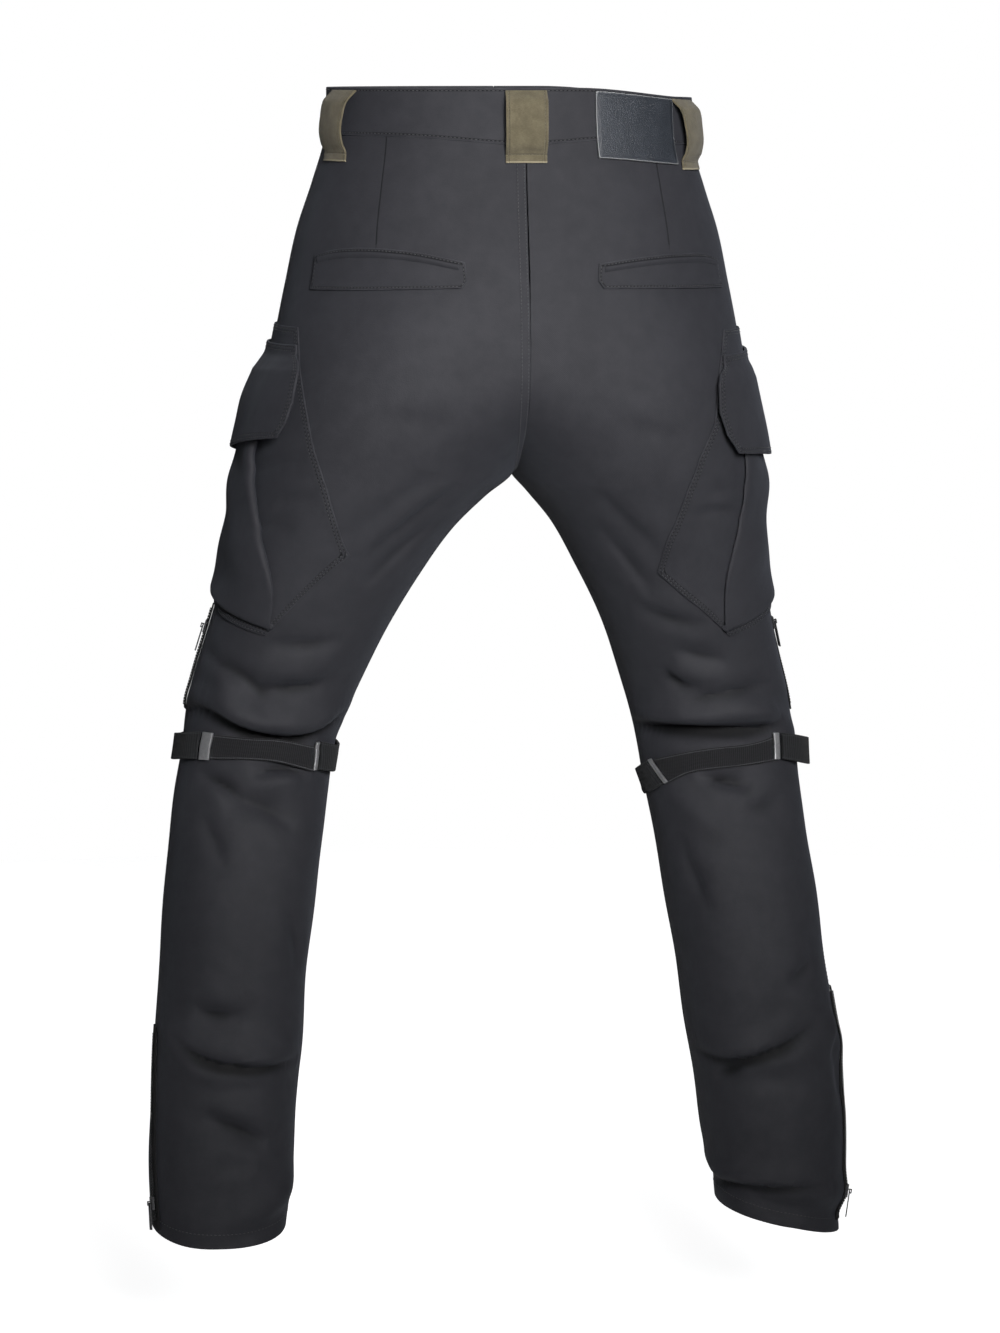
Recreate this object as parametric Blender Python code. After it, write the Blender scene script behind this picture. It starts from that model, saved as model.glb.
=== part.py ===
"""Motorcycle trousers in the hollow form that they keep while worn.

Metres, +Z up. The front faces -Y and the wearer's left is +X. The origin is the middle of the
waist opening, halfway up the waistband. Every piece of cloth is cut from one grid of points for
each leg, so that what lies on a panel follows that panel's own facets.
"""

import math
from collections import namedtuple

import bmesh
import bpy
from mathutils import Matrix, Vector

# Cloth and gaps
CLOTH = 0.0018
SEAM_GAP = 0.0003
REST_GAP = 0.0006
BAND_CLOTH = 0.0030
BAND_LIFT = 0.0010

# Waistband
BAND_TOP = 0.0205
BAND_BOTTOM = -0.0200
BAND_ROWS = 2

# The fork of the legs. The seams of seat and front curve under to one point.
CROTCH_Z = -0.311
FORK_HEIGHT = 0.170
FORK_ROWS = 7
WEB_SHARE = 0.62
ROUNDNESS = 2.25

# Columns of the grid round each leg. The seam, merge and cut values are in columns.
FRONT_COLUMNS = 8
BACK_COLUMNS = 12
COLUMNS = FRONT_COLUMNS + BACK_COLUMNS
HALF_SEAM = 0.012
MERGE = 0.05
CUT_DIST = 0.0001
HALVINGS = 30
FORK_CROWDING = 3.0

# Small steps for the surface's direction, and how far below the fork the legs stay apart
TURN_STEP = 0.02
RISE_STEP = 0.002
FORK_EASE = 0.020

# Sections from the waist to the hem. inner is 0 above the fork, where the two legs are one.
Section = namedtuple("Section", "z inner outer front mid back")
LEFT_SECTIONS = (
    Section(0.030, 0.000, 0.157, -0.112, 0.000, 0.112),
    Section(-0.020, 0.000, 0.1595, -0.117, 0.000, 0.115),
    Section(-0.060, 0.000, 0.171, -0.122, 0.001, 0.121),
    Section(-0.100, 0.000, 0.184, -0.126, 0.002, 0.131),
    Section(-0.150, 0.000, 0.196, -0.128, 0.004, 0.142),
    Section(-0.200, 0.000, 0.206, -0.127, 0.006, 0.148),
    Section(-0.250, 0.000, 0.218, -0.122, 0.008, 0.146),
    Section(-0.285, 0.000, 0.226, -0.118, 0.010, 0.139),
    Section(-0.311, 0.000, 0.231, -0.114, 0.010, 0.131),
    Section(-0.330, 0.022, 0.235, -0.112, 0.010, 0.125),
    Section(-0.360, 0.052, 0.241, -0.108, 0.009, 0.115),
    Section(-0.400, 0.081, 0.250, -0.103, 0.007, 0.104),
    Section(-0.440, 0.105, 0.262, -0.098, 0.004, 0.094),
    Section(-0.480, 0.125, 0.274, -0.092, 0.000, 0.084),
    Section(-0.520, 0.143, 0.284, -0.086, -0.004, 0.074),
    Section(-0.555, 0.155, 0.289, -0.081, -0.005, 0.064),
    Section(-0.590, 0.161, 0.295, -0.076, -0.002, 0.072),
    Section(-0.630, 0.166, 0.300, -0.069, 0.006, 0.084),
    Section(-0.680, 0.173, 0.306, -0.058, 0.016, 0.094),
    Section(-0.740, 0.182, 0.311, -0.047, 0.026, 0.101),
    Section(-0.800, 0.187, 0.316, -0.037, 0.035, 0.105),
    Section(-0.860, 0.194, 0.321, -0.027, 0.043, 0.109),
    Section(-0.920, 0.198, 0.323, -0.015, 0.051, 0.115),
    Section(-0.970, 0.205, 0.321, -0.004, 0.058, 0.120),
    Section(-1.010, 0.210, 0.315, 0.004, 0.063, 0.123),
)
RIGHT_SECTIONS = (
    Section(0.030, 0.000, 0.157, -0.112, 0.000, 0.112),
    Section(-0.020, 0.000, 0.1595, -0.117, 0.000, 0.115),
    Section(-0.060, 0.000, 0.170, -0.122, 0.001, 0.121),
    Section(-0.100, 0.000, 0.181, -0.126, 0.002, 0.131),
    Section(-0.150, 0.000, 0.191, -0.128, 0.004, 0.142),
    Section(-0.200, 0.000, 0.199, -0.127, 0.006, 0.148),
    Section(-0.250, 0.000, 0.207, -0.122, 0.008, 0.146),
    Section(-0.285, 0.000, 0.212, -0.118, 0.010, 0.139),
    Section(-0.311, 0.000, 0.216, -0.114, 0.010, 0.131),
    Section(-0.330, 0.015, 0.217, -0.112, 0.009, 0.122),
    Section(-0.360, 0.039, 0.219, -0.110, 0.007, 0.109),
    Section(-0.400, 0.061, 0.224, -0.107, 0.003, 0.095),
    Section(-0.440, 0.080, 0.231, -0.103, -0.002, 0.082),
    Section(-0.480, 0.096, 0.241, -0.099, -0.008, 0.070),
    Section(-0.520, 0.109, 0.252, -0.095, -0.014, 0.059),
    Section(-0.555, 0.117, 0.258, -0.092, -0.017, 0.051),
    Section(-0.590, 0.123, 0.260, -0.088, -0.014, 0.059),
    Section(-0.630, 0.130, 0.265, -0.081, -0.006, 0.070),
    Section(-0.680, 0.138, 0.273, -0.073, 0.002, 0.079),
    Section(-0.740, 0.148, 0.280, -0.065, 0.008, 0.083),
    Section(-0.800, 0.156, 0.289, -0.058, 0.012, 0.084),
    Section(-0.860, 0.166, 0.296, -0.051, 0.016, 0.085),
    Section(-0.920, 0.174, 0.298, -0.044, 0.020, 0.086),
    Section(-0.970, 0.182, 0.294, -0.038, 0.023, 0.086),
    Section(-1.010, 0.186, 0.289, -0.035, 0.026, 0.086),
)

# How far apart the grid's rows are below each height
RowStep = namedtuple("RowStep", "below step")
ROW_STEPS = (
    RowStep(CROTCH_Z, 0.017),
    RowStep(-0.36, 0.023),
    RowStep(-0.50, 0.0132),
    RowStep(-0.60, 0.028),
    RowStep(-0.78, 0.0205),
    RowStep(-0.92, 0.0140),
)
HIP_ROWS = (-0.0203, -0.045, -0.075, -0.108)
LAST_STEP = 0.001

# Angles run round the leg: 0 at the inseam, 90 front, 180 outer side, 270 back.
# A fold is a soft ridge, or a trough where its height is negative.
Fold = namedtuple("Fold", "angle z tilt length width height")
LEFT_FOLDS = (
    Fold(262, -0.518, -6, 0.120, 0.014, 0.0075),
    Fold(275, -0.536, -6, 0.120, 0.010, -0.0070),
    Fold(234, -0.497, -48, 0.085, 0.012, 0.0040),
    Fold(285, -0.493, 6, 0.070, 0.016, -0.0050),
    Fold(262, -0.446, 20, 0.090, 0.015, -0.0035),
    Fold(272, -0.595, -22, 0.060, 0.010, -0.0035),
    Fold(290, -0.572, 14, 0.050, 0.010, 0.0030),
    Fold(256, -0.772, 0, 0.060, 0.013, -0.0035),
    Fold(228, -0.802, -30, 0.060, 0.011, 0.0050),
    Fold(285, -0.818, 2, 0.080, 0.012, 0.0050),
    Fold(290, -0.835, 2, 0.085, 0.012, -0.0035),
    Fold(277, -0.872, -22, 0.070, 0.013, -0.0045),
    Fold(315, -0.930, 12, 0.060, 0.014, 0.0055),
    Fold(300, -0.948, 10, 0.060, 0.010, -0.0045),
    Fold(95, -0.500, 8, 0.080, 0.014, 0.0040),
    Fold(80, -0.620, -10, 0.080, 0.014, -0.0040),
    Fold(95, -0.860, -12, 0.080, 0.014, 0.0050),
    Fold(80, -0.905, 10, 0.080, 0.014, -0.0045),
)
RIGHT_FOLDS = (
    Fold(285, -0.522, -3, 0.105, 0.012, 0.0060),
    Fold(285, -0.538, -3, 0.110, 0.010, -0.0070),
    Fold(228, -0.506, 24, 0.070, 0.014, -0.0050),
    Fold(243, -0.524, 22, 0.090, 0.010, 0.0040),
    Fold(295, -0.499, -4, 0.070, 0.013, -0.0045),
    Fold(278, -0.470, -6, 0.070, 0.014, -0.0035),
    Fold(276, -0.585, -8, 0.060, 0.010, -0.0035),
    Fold(300, -0.610, 30, 0.060, 0.012, 0.0030),
    Fold(315, -0.680, -50, 0.050, 0.012, -0.0030),
    Fold(285, -0.824, 0, 0.080, 0.013, 0.0055),
    Fold(224, -0.798, 38, 0.070, 0.013, 0.0050),
    Fold(292, -0.844, 0, 0.070, 0.013, -0.0040),
    Fold(208, -0.850, 80, 0.040, 0.010, -0.0030),
    Fold(275, -0.942, 2, 0.160, 0.012, 0.0055),
    Fold(275, -0.960, 2, 0.150, 0.009, -0.0055),
    Fold(90, -0.505, -8, 0.080, 0.014, 0.0040),
    Fold(100, -0.640, 10, 0.080, 0.014, -0.0040),
    Fold(85, -0.850, 12, 0.080, 0.014, 0.0050),
    Fold(95, -0.900, -10, 0.080, 0.014, -0.0045),
)

# Where each leg ends. The hem drops towards the heel and towards the outer side.
Hem = namedtuple("Hem", "z back_drop outer_drop")
HEM_BLEND = 0.100
LEFT_HEM = Hem(-0.961, 0.012, 0.000)
RIGHT_HEM = Hem(-0.978, 0.000, 0.014)

# Below the knee the side seam turns towards the heel, as the foot turns out
SEAM_TURN = 24
SEAM_TURN_TOP = -0.640
SEAM_TURN_BOTTOM = -0.960

# The panels are parted here, under the strap
KNEE_SEAM_Z = {"left": -0.553, "right": -0.566}

# A place on a leg: its angle and its height
Spot = namedtuple("Spot", "angle z")

# Raised seams and patches that lie flat on the cloth
PATCH_CLOTH = 0.0014
WELT_CLOTH = 0.0016
LEFT_WELT = (
    Spot(205, -0.121), Spot(216, -0.1155), Spot(229, -0.114), Spot(243, -0.117), Spot(256, -0.125),
    Spot(257, -0.147), Spot(206, -0.150),
)
RIGHT_WELT = (
    Spot(204, -0.124), Spot(215, -0.119), Spot(229, -0.119), Spot(254, -0.127),
    Spot(255, -0.148), Spot(205, -0.150),
)
LEFT_PATCH = (
    Spot(205, -0.182), Spot(213, -0.2154), Spot(234, -0.2836), Spot(246, -0.316), Spot(271.5, -0.3735),
    Spot(246, -0.4445), Spot(150, -0.4165), Spot(134, -0.394), Spot(134, -0.184),
)
RIGHT_PATCH = (
    Spot(214, -0.186), Spot(224.5, -0.2185), Spot(236, -0.264), Spot(249, -0.2935), Spot(284, -0.3935),
    Spot(254, -0.4525), Spot(155, -0.4185), Spot(138, -0.394), Spot(138, -0.188),
)

# The bellows pocket: its edges from the mouth down, and the profile of its rolled edge
POCKET_HEIGHT = 0.0120
POCKET_CLOTH = 0.0018
POCKET_SEAT = PATCH_CLOTH + REST_GAP + 0.0012
LEFT_POCKET_REAR = (Spot(203, -0.231), Spot(201, -0.298), Spot(216, -0.3435), Spot(240, -0.400), Spot(248.5, -0.438))
RIGHT_POCKET_REAR = (Spot(219, -0.240), Spot(223, -0.304), Spot(232, -0.3466), Spot(249, -0.400), Spot(257, -0.4465))
LEFT_POCKET_FRONT = (Spot(146, -0.233), Spot(147, -0.270), Spot(149, -0.318), Spot(152, -0.366), Spot(157, -0.410))
RIGHT_POCKET_FRONT = (Spot(150, -0.237), Spot(151, -0.272), Spot(153, -0.320), Spot(156, -0.368), Spot(161, -0.412))
EdgeStep = namedtuple("EdgeStep", "inset share")
OUTER_EDGE = (EdgeStep(0.0060, 0.0), EdgeStep(0.0000, 0.45), EdgeStep(0.0022, 0.93), EdgeStep(0.0075, 1.0))
INNER_EDGE = (EdgeStep(0.0080, 0.0), EdgeStep(0.0022, 0.45), EdgeStep(0.0045, 0.86), EdgeStep(0.0085, 1.0))
POCKET_MIDDLES = (0.12, 0.21, 0.30, 0.39, 0.48, 0.57, 0.66, 0.75, 0.84)
POCKET_ROWS = 11

# The flap is sewn down along its top and hangs over the pocket's mouth
FLAP_CLOTH = 0.0024
FlapRow = namedtuple("FlapRow", "rear front lift")
LEFT_FLAP = (
    FlapRow(Spot(209, -0.1975), Spot(141, -0.2), 0.0032),
    FlapRow(Spot(210.5, -0.2055), Spot(140, -0.211), 0.0034),
    FlapRow(Spot(214.5, -0.2115), Spot(140, -0.22), 0.0100),
    FlapRow(Spot(218, -0.2195), Spot(139, -0.229), 0.0150),
    FlapRow(Spot(222.3, -0.246), Spot(138, -0.252), 0.0152),
    FlapRow(Spot(222, -0.2625), Spot(141, -0.278), 0.0154),
    FlapRow(Spot(220, -0.2755), Spot(153, -0.3), 0.0156),
)
RIGHT_FLAP = (
    FlapRow(Spot(221.5, -0.2075), Spot(145, -0.203), 0.0034),
    FlapRow(Spot(223, -0.2165), Spot(144, -0.214), 0.0036),
    FlapRow(Spot(228, -0.2225), Spot(144, -0.223), 0.0100),
    FlapRow(Spot(231.5, -0.2315), Spot(143, -0.232), 0.0150),
    FlapRow(Spot(235.5, -0.254), Spot(142, -0.256), 0.0152),
    FlapRow(Spot(235, -0.2735), Spot(145, -0.284), 0.0154),
    FlapRow(Spot(231, -0.2895), Spot(157, -0.307), 0.0156),
)
FLAP_MIDDLES = (0.10, 0.20, 0.30, 0.40, 0.50, 0.60, 0.70, 0.80, 0.90)

# Belt loops. They stand off the band between a sewn top and a sewn foot.
LOOP_WIDTH = 0.035
LOOP_CLOTH = 0.0018
LoopRow = namedtuple("LoopRow", "z lift")
LOOP_ROWS = (
    LoopRow(0.0185, 0.0018),
    LoopRow(0.0150, 0.0046),
    LoopRow(0.0090, 0.0088),
    LoopRow(-0.0060, 0.0096),
    LoopRow(-0.0190, 0.0090),
    LoopRow(-0.0295, 0.0054),
    LoopRow(-0.0350, 0.0010),
    LoopRow(-0.0425, 0.0008),
)
SIDE_LOOP_ANGLE = 203
FRONT_LOOP_ANGLE = 128

# The leather patch lies on the band and reaches below it
LEATHER = 0.0022
LEATHER_ANGLES = (217.0, 250.5)
LEATHER_ROWS = (0.0180, 0.0, -0.0202, -0.0385)
LEATHER_LIFT = BAND_LIFT + REST_GAP

# Fly and button
FLY = (Spot(90.4, -0.022), Spot(108, -0.022), Spot(108, -0.128), Spot(103, -0.140), Spot(90.4, -0.140))
BUTTON_RADIUS = 0.0085
BUTTON_HEIGHT = 0.0036
BUTTON_X = 0.011
BUTTON_TAPER = 0.9
BUTTON_SIDES = 20

# The strap behind each knee: elastic between two steel bars, each in a webbing tab
ELASTIC = 0.0014
LEFT_ELASTIC = (
    Spot(225, -0.5335), Spot(270, -0.5375), Spot(311, -0.547),
    Spot(309.5, -0.568), Spot(270, -0.5555), Spot(227, -0.5555),
)
RIGHT_ELASTIC = (
    Spot(234, -0.5455), Spot(256, -0.5505), Spot(289, -0.5555), Spot(332, -0.5675),
    Spot(318.5, -0.5868), Spot(295, -0.5755), Spot(262, -0.5702), Spot(236, -0.5675),
)
BAR_LIFT = ELASTIC + 2 * REST_GAP
BAR_HEIGHT = 0.0020
LEFT_BARS = {
    "outer": (Spot(220.5, -0.532), Spot(230, -0.532), Spot(232, -0.5565), Spot(222.5, -0.557)),
    "inner": (Spot(309.3, -0.5425), Spot(312.9, -0.5425), Spot(311.2, -0.5665), Spot(307.6, -0.5665)),
}
RIGHT_BARS = {
    "outer": (Spot(231.5, -0.5425), Spot(236.5, -0.542), Spot(239, -0.5665), Spot(234, -0.567)),
    "inner": (Spot(332, -0.5665), Spot(336, -0.5685), Spot(320.5, -0.587), Spot(317, -0.585)),
}
WEBBING = 0.0026
TabRow = namedtuple("TabRow", "top bottom lift")
LEFT_TABS = {
    "outer": (
        TabRow(Spot(218, -0.532), Spot(220, -0.557), 0.0024),
        TabRow(Spot(208, -0.534), Spot(209, -0.5585), 0.0050),
        TabRow(Spot(192, -0.538), Spot(192, -0.562), 0.0056),
        TabRow(Spot(176, -0.542), Spot(176, -0.565), 0.0046),
        TabRow(Spot(164, -0.544), Spot(164, -0.566), 0.0008),
        TabRow(Spot(154, -0.545), Spot(154, -0.566), 0.0008),
    ),
    "inner": (
        TabRow(Spot(314.5, -0.5425), Spot(313, -0.5665), 0.0024),
        TabRow(Spot(325, -0.5445), Spot(324, -0.569), 0.0046),
        TabRow(Spot(336, -0.547), Spot(335, -0.571), 0.0046),
        TabRow(Spot(349, -0.5485), Spot(348, -0.5715), 0.0026),
        TabRow(Spot(360, -0.549), Spot(360, -0.5715), 0.0008),
        TabRow(Spot(372, -0.5495), Spot(372, -0.571), 0.0008),
    ),
}
RIGHT_TABS = {
    "outer": (
        TabRow(Spot(229, -0.5435), Spot(231.5, -0.567), 0.0024),
        TabRow(Spot(219, -0.546), Spot(220, -0.5705), 0.0050),
        TabRow(Spot(204, -0.551), Spot(204, -0.575), 0.0075),
        TabRow(Spot(190, -0.555), Spot(190, -0.578), 0.0088),
        TabRow(Spot(174, -0.557), Spot(174, -0.5785), 0.0012),
        TabRow(Spot(162, -0.5575), Spot(162, -0.578), 0.0008),
    ),
    "inner": (
        TabRow(Spot(337.5, -0.569), Spot(322, -0.5875), 0.0024),
        TabRow(Spot(346, -0.574), Spot(330, -0.5925), 0.0046),
        TabRow(Spot(357, -0.579), Spot(340, -0.597), 0.0048),
        TabRow(Spot(367, -0.582), Spot(351, -0.6005), 0.0026),
        TabRow(Spot(375, -0.583), Spot(362, -0.602), 0.0008),
        TabRow(Spot(385, -0.583), Spot(375, -0.602), 0.0008),
    ),
}

# Zips, each with its top and bottom end, and the height of its slider
ZIP_TAPE = 0.0013
ZIP_WIDTH = 0.014
Zip = namedtuple("Zip", "top bottom slider")
ZIPS = {
    "left": {
        "knee": Zip(Spot(174, -0.428), Spot(174, -0.520), Spot(174, -0.448)),
        "ankle": Zip(Spot(189, -0.790), Spot(204, -0.956), Spot(202, -0.936)),
    },
    "right": {
        "knee": Zip(Spot(177, -0.432), Spot(177, -0.530), Spot(177, -0.452)),
        "ankle": Zip(Spot(189, -0.775), Spot(204, -0.968), Spot(203, -0.945)),
    },
}
SLIDER_WIDTH = 0.0080
SLIDER_LENGTH = 0.0110
SLIDER_LIFT = ZIP_TAPE + 2 * REST_GAP
SLIDER_BASE = 0.0022
SLIDER_TURN = 4.0
HOOK_WIDTH = 0.0022
HOOK_WALL = 0.0009
HOOK_WINDOW = 0.0022
PULL_WIDTH = 0.0056
PULL_LENGTH = 0.0230
PULL_THICKNESS = 0.0011
PULL_EYE = 0.0034
PULL_BAR = 0.0010

Finish = namedtuple("Finish", "red green blue roughness metallic")
FINISHES = {
    "waxed_cloth": Finish(0.035, 0.036, 0.040, 0.62, 0.0),
    "khaki_cloth": Finish(0.190, 0.150, 0.085, 0.80, 0.0),
    "patch_leather": Finish(0.040, 0.046, 0.058, 0.50, 0.0),
    "webbing": Finish(0.016, 0.018, 0.020, 0.85, 0.0),
    "elastic": Finish(0.010, 0.013, 0.014, 0.90, 0.0),
    "zip_tape": Finish(0.008, 0.008, 0.009, 0.80, 0.0),
    "steel": Finish(0.560, 0.560, 0.570, 0.32, 1.0),
}


def clear_scene():
    for obj in list(bpy.data.objects):
        bpy.data.objects.remove(obj)


def own_material(name, finish_name):
    """A material for one object, in the named finish."""
    finish = FINISHES[finish_name]
    material = bpy.data.materials.new(name)
    material.use_nodes = True
    shader = material.node_tree.nodes["Principled BSDF"]
    colour = (finish.red, finish.green, finish.blue, 1.0)
    shader.inputs["Base Color"].default_value = colour
    shader.inputs["Roughness"].default_value = finish.roughness
    shader.inputs["Metallic"].default_value = finish.metallic
    return material


def add_object(name, bm, finish):
    """Turns a bmesh into a named object with its faces pointing out."""
    bmesh.ops.recalc_face_normals(bm, faces=bm.faces)
    if bm.calc_volume(signed=True) < 0.0:
        bmesh.ops.reverse_faces(bm, faces=bm.faces)
    mesh = bpy.data.meshes.new(name)
    bm.to_mesh(mesh)
    bm.free()
    mesh.materials.append(own_material(name, finish))
    obj = bpy.data.objects.new(name, mesh)
    bpy.context.scene.collection.objects.link(obj)
    return obj


def smoothstep(value):
    value = min(1.0, max(0.0, value))
    return value * value * (3.0 - 2.0 * value)


def between(rows, z):
    """The section at height z, on a smooth cubic through the table's rows."""
    last = len(rows) - 1
    k = next((i for i in range(last - 1) if z > rows[i + 1].z), last - 1)
    before, start, end, after = rows[max(k - 1, 0)], rows[k], rows[k + 1], rows[min(k + 2, last)]
    span = end.z - start.z
    t = (z - start.z) / span
    found = []
    for a, b, c, d in zip(before[1:], start[1:], end[1:], after[1:]):
        slope_b = (c - a) / (end.z - before.z) * span
        slope_c = (d - b) / (after.z - start.z) * span
        found.append(
            (2 * t**3 - 3 * t**2 + 1) * b
            + (t**3 - 2 * t**2 + t) * slope_b
            + (3 * t**2 - 2 * t**3) * c
            + (t**3 - t**2) * slope_c
        )
    return Section(z, *found)


def signed_power(value, power):
    return math.copysign(abs(value) ** power, value)


class Leg:
    """One leg with its half of the seat, as a grid of points and outward normals."""

    def __init__(self, side, sections, folds, hem):
        self.side = side
        self.name = "left" if side > 0 else "right"
        self.sections = sections
        self.folds = folds
        self.hem = hem
        self.rows = self.row_heights()
        self.points = []
        self.normals = []
        for z in self.rows:
            angles = self.column_angles(z)
            self.points.append([self.folded(angle, z) for angle in angles])
            self.normals.append([self.normal(angle, z) for angle in angles])

    def row_heights(self):
        """Heights of the grid's rows, close together at the fork, the knee and the hem."""
        span = BAND_TOP - BAND_BOTTOM
        rows = [BAND_TOP - span * k / BAND_ROWS for k in range(BAND_ROWS + 1)]
        rows += HIP_ROWS
        rows += [CROTCH_Z + FORK_HEIGHT * (k / FORK_ROWS) ** 2 for k in range(FORK_ROWS, -1, -1)]
        while rows[-1] > self.hem.z + LAST_STEP:
            step = [s.step for s in ROW_STEPS if rows[-1] <= s.below][-1]
            rows.append(max(rows[-1] - step, self.hem.z))
        return rows

    def fork(self, z):
        """How far the section is split in two: 1 at the fork and below it, 0 at the hips."""
        return min(1.0, max(0.0, 1.0 - (z - CROTCH_Z) / FORK_HEIGHT))

    def first_angle(self, z):
        """Where the section starts: the inseam, or above the fork the middle of the body."""
        if z <= CROTCH_Z:
            return 0.0
        return math.acos(self.fork(z) ** (ROUNDNESS / 2.0))

    def seam_angle(self, z):
        """The angle of the side seam."""
        turned = smoothstep((SEAM_TURN_TOP - z) / (SEAM_TURN_TOP - SEAM_TURN_BOTTOM))
        return math.pi + math.radians(SEAM_TURN) * turned

    def column_angle(self, column, z):
        """The angle of a grid column. Near the fork only the inner columns give way to the split."""
        start, seam = self.first_angle(z), self.seam_angle(z)
        power = 1.0 + FORK_CROWDING * (1.0 - start / (math.pi / 2.0))
        if column <= FRONT_COLUMNS:
            share = column / FRONT_COLUMNS
            return seam * share + start * (1.0 - share) ** power
        share = (COLUMNS - column) / BACK_COLUMNS
        turn = 2.0 * math.pi
        return turn - (turn - seam) * share - start * (1.0 - share) ** power

    def column_angles(self, z):
        return [self.column_angle(column, z) for column in range(COLUMNS + 1)]

    def smooth_point(self, angle, z):
        """A point of the leg's outer surface before any fold."""
        section = between(self.sections, z)
        share = self.fork(z)
        if z > CROTCH_Z:
            radius = section.outer / (1.0 + share)
            centre = radius * share
        else:
            radius = (section.outer - section.inner) / 2.0
            centre = (section.outer + section.inner) / 2.0
        cosine, sine = math.cos(angle), math.sin(angle)
        x = centre - radius * signed_power(cosine, 2.0 / ROUNDNESS)
        depth = abs(sine) ** (2.0 / ROUNDNESS)
        if cosine > 0.0:
            web = smoothstep((1.0 - share) / WEB_SHARE)
            depth += (1.0 - depth) * web
        edge = section.front if sine > 0.0 else section.back
        y = section.mid + (edge - section.mid) * depth
        drop = smoothstep((self.hem.z + HEM_BLEND - z) / HEM_BLEND)
        fall = self.hem.back_drop * max(0.0, -sine) + self.hem.outer_drop * -cosine
        return Vector((self.side * x, y, z - drop * fall))

    def normal(self, angle, z):
        """The outward direction of the smooth surface."""
        along = self.smooth_point(angle + TURN_STEP, z) - self.smooth_point(angle - TURN_STEP, z)
        up = self.smooth_point(angle, z + RISE_STEP) - self.smooth_point(angle, z - RISE_STEP)
        return self.side * along.cross(up).normalized()

    def fold_height(self, angle, z):
        """The sum of the folds there. Each is highest at its middle and fades at its ends."""
        section = between(self.sections, z)
        girth = (section.outer - section.inner + section.back - section.front) / 4.0
        total = 0.0
        for fold in self.folds:
            around = (angle - math.radians(fold.angle)) * girth
            up = z - fold.z
            tilt = math.radians(fold.tilt)
            along = around * math.cos(tilt) + up * math.sin(tilt)
            across = up * math.cos(tilt) - around * math.sin(tilt)
            fade = max(0.0, 1.0 - (along / fold.length) ** 2)
            total += fold.height * fade**2 * math.exp(-((across / fold.width) ** 2))
        return total

    def beside_middle(self, point, z):
        """Keeps a point of the seat on its own side of the middle of the body."""
        if z > CROTCH_Z - FORK_EASE:
            point.x = self.side * max(self.side * point.x, SEAM_GAP / 2.0)
        return point

    def folded(self, angle, z):
        point = self.smooth_point(angle, z) + self.normal(angle, z) * self.fold_height(angle, z)
        return self.beside_middle(point, z)

    def column_of(self, spot):
        """The grid column, with its fraction, of a spot. Past the inseam the columns count on."""
        if spot.angle > 360.0:
            return COLUMNS + self.column_of(Spot(spot.angle - 360.0, spot.z))
        angle = math.radians(spot.angle)
        low, high = 0.0, float(COLUMNS)
        for _ in range(HALVINGS):
            middle = (low + high) / 2.0
            if self.column_angle(middle, spot.z) < angle:
                low = middle
            else:
                high = middle
        return (low + high) / 2.0

    def row_of(self, z):
        """The grid row, with its fraction, of a height."""
        last = len(self.rows) - 2
        k = next((i for i in range(last) if z > self.rows[i + 1]), last)
        return k + (self.rows[k] - z) / (self.rows[k] - self.rows[k + 1])

    def cell_of(self, spot):
        return (self.column_of(spot), self.row_of(spot.z))

    def at(self, column, row, grid):
        """Interpolates inside the grid's own triangles."""
        if column > COLUMNS:
            column -= COLUMNS
        i = min(max(math.floor(column), 0), COLUMNS - 1)
        j = min(max(math.floor(row), 0), len(self.rows) - 2)
        u, v = column - i, row - j
        if u >= v:
            return grid[j][i] * (1 - u) + grid[j][i + 1] * (u - v) + grid[j + 1][i + 1] * v
        return grid[j][i] * (1 - v) + grid[j + 1][i] * (v - u) + grid[j + 1][i + 1] * u

    def lifted(self, column, row, lift):
        """A point on the faceted cloth, moved out by lift, or in where lift is negative."""
        point = self.at(column, row, self.points) + self.at(column, row, self.normals) * lift
        j = min(max(math.floor(row), 0), len(self.rows) - 1)
        return self.beside_middle(point, self.rows[j])

    def over(self, spot, lift):
        column, row = self.cell_of(spot)
        return self.lifted(column, row, lift)

    def spot_at_x(self, x, z, angle_side):
        """The spot of the front (1) or back (-1) that lies x from the middle."""
        section = between(self.sections, z)
        share = self.fork(z)
        radius = section.outer / (1.0 + share)
        cosine = signed_power((radius * share - x) / radius, ROUNDNESS / 2.0)
        angle = math.degrees(math.acos(cosine))
        return Spot(angle if angle_side > 0 else 360.0 - angle, z)


def grid_cells(outline):
    """A flat bmesh of the grid's triangles that an outline can touch."""
    left = math.floor(min(c for c, r in outline))
    right = math.ceil(max(c for c, r in outline))
    top = math.floor(min(r for c, r in outline))
    bottom = math.ceil(max(r for c, r in outline))
    bm = bmesh.new()
    corner = {
        (i, j): bm.verts.new((i, j, 0.0))
        for i in range(left, right + 1)
        for j in range(top, bottom + 1)
    }
    for i in range(left, right):
        for j in range(top, bottom):
            bm.faces.new((corner[i, j], corner[i + 1, j], corner[i + 1, j + 1]))
            bm.faces.new((corner[i, j], corner[i + 1, j + 1], corner[i, j + 1]))
    return bm


def meets(face, a, b):
    """Whether the box round a face meets the box round a line."""
    for axis in (0, 1):
        values = [v.co[axis] for v in face.verts]
        if max(values) < min(a[axis], b[axis]) or min(values) > max(a[axis], b[axis]):
            return False
    return True


def inside(point, outline):
    """Whether a point lies in a closed outline."""
    odd = False
    for (ax, ay), (bx, by) in zip(outline, outline[1:] + outline[:1]):
        if (ay > point.y) != (by > point.y):
            if point.x < ax + (point.y - ay) / (by - ay) * (bx - ax):
                odd = not odd
    return odd


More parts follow.
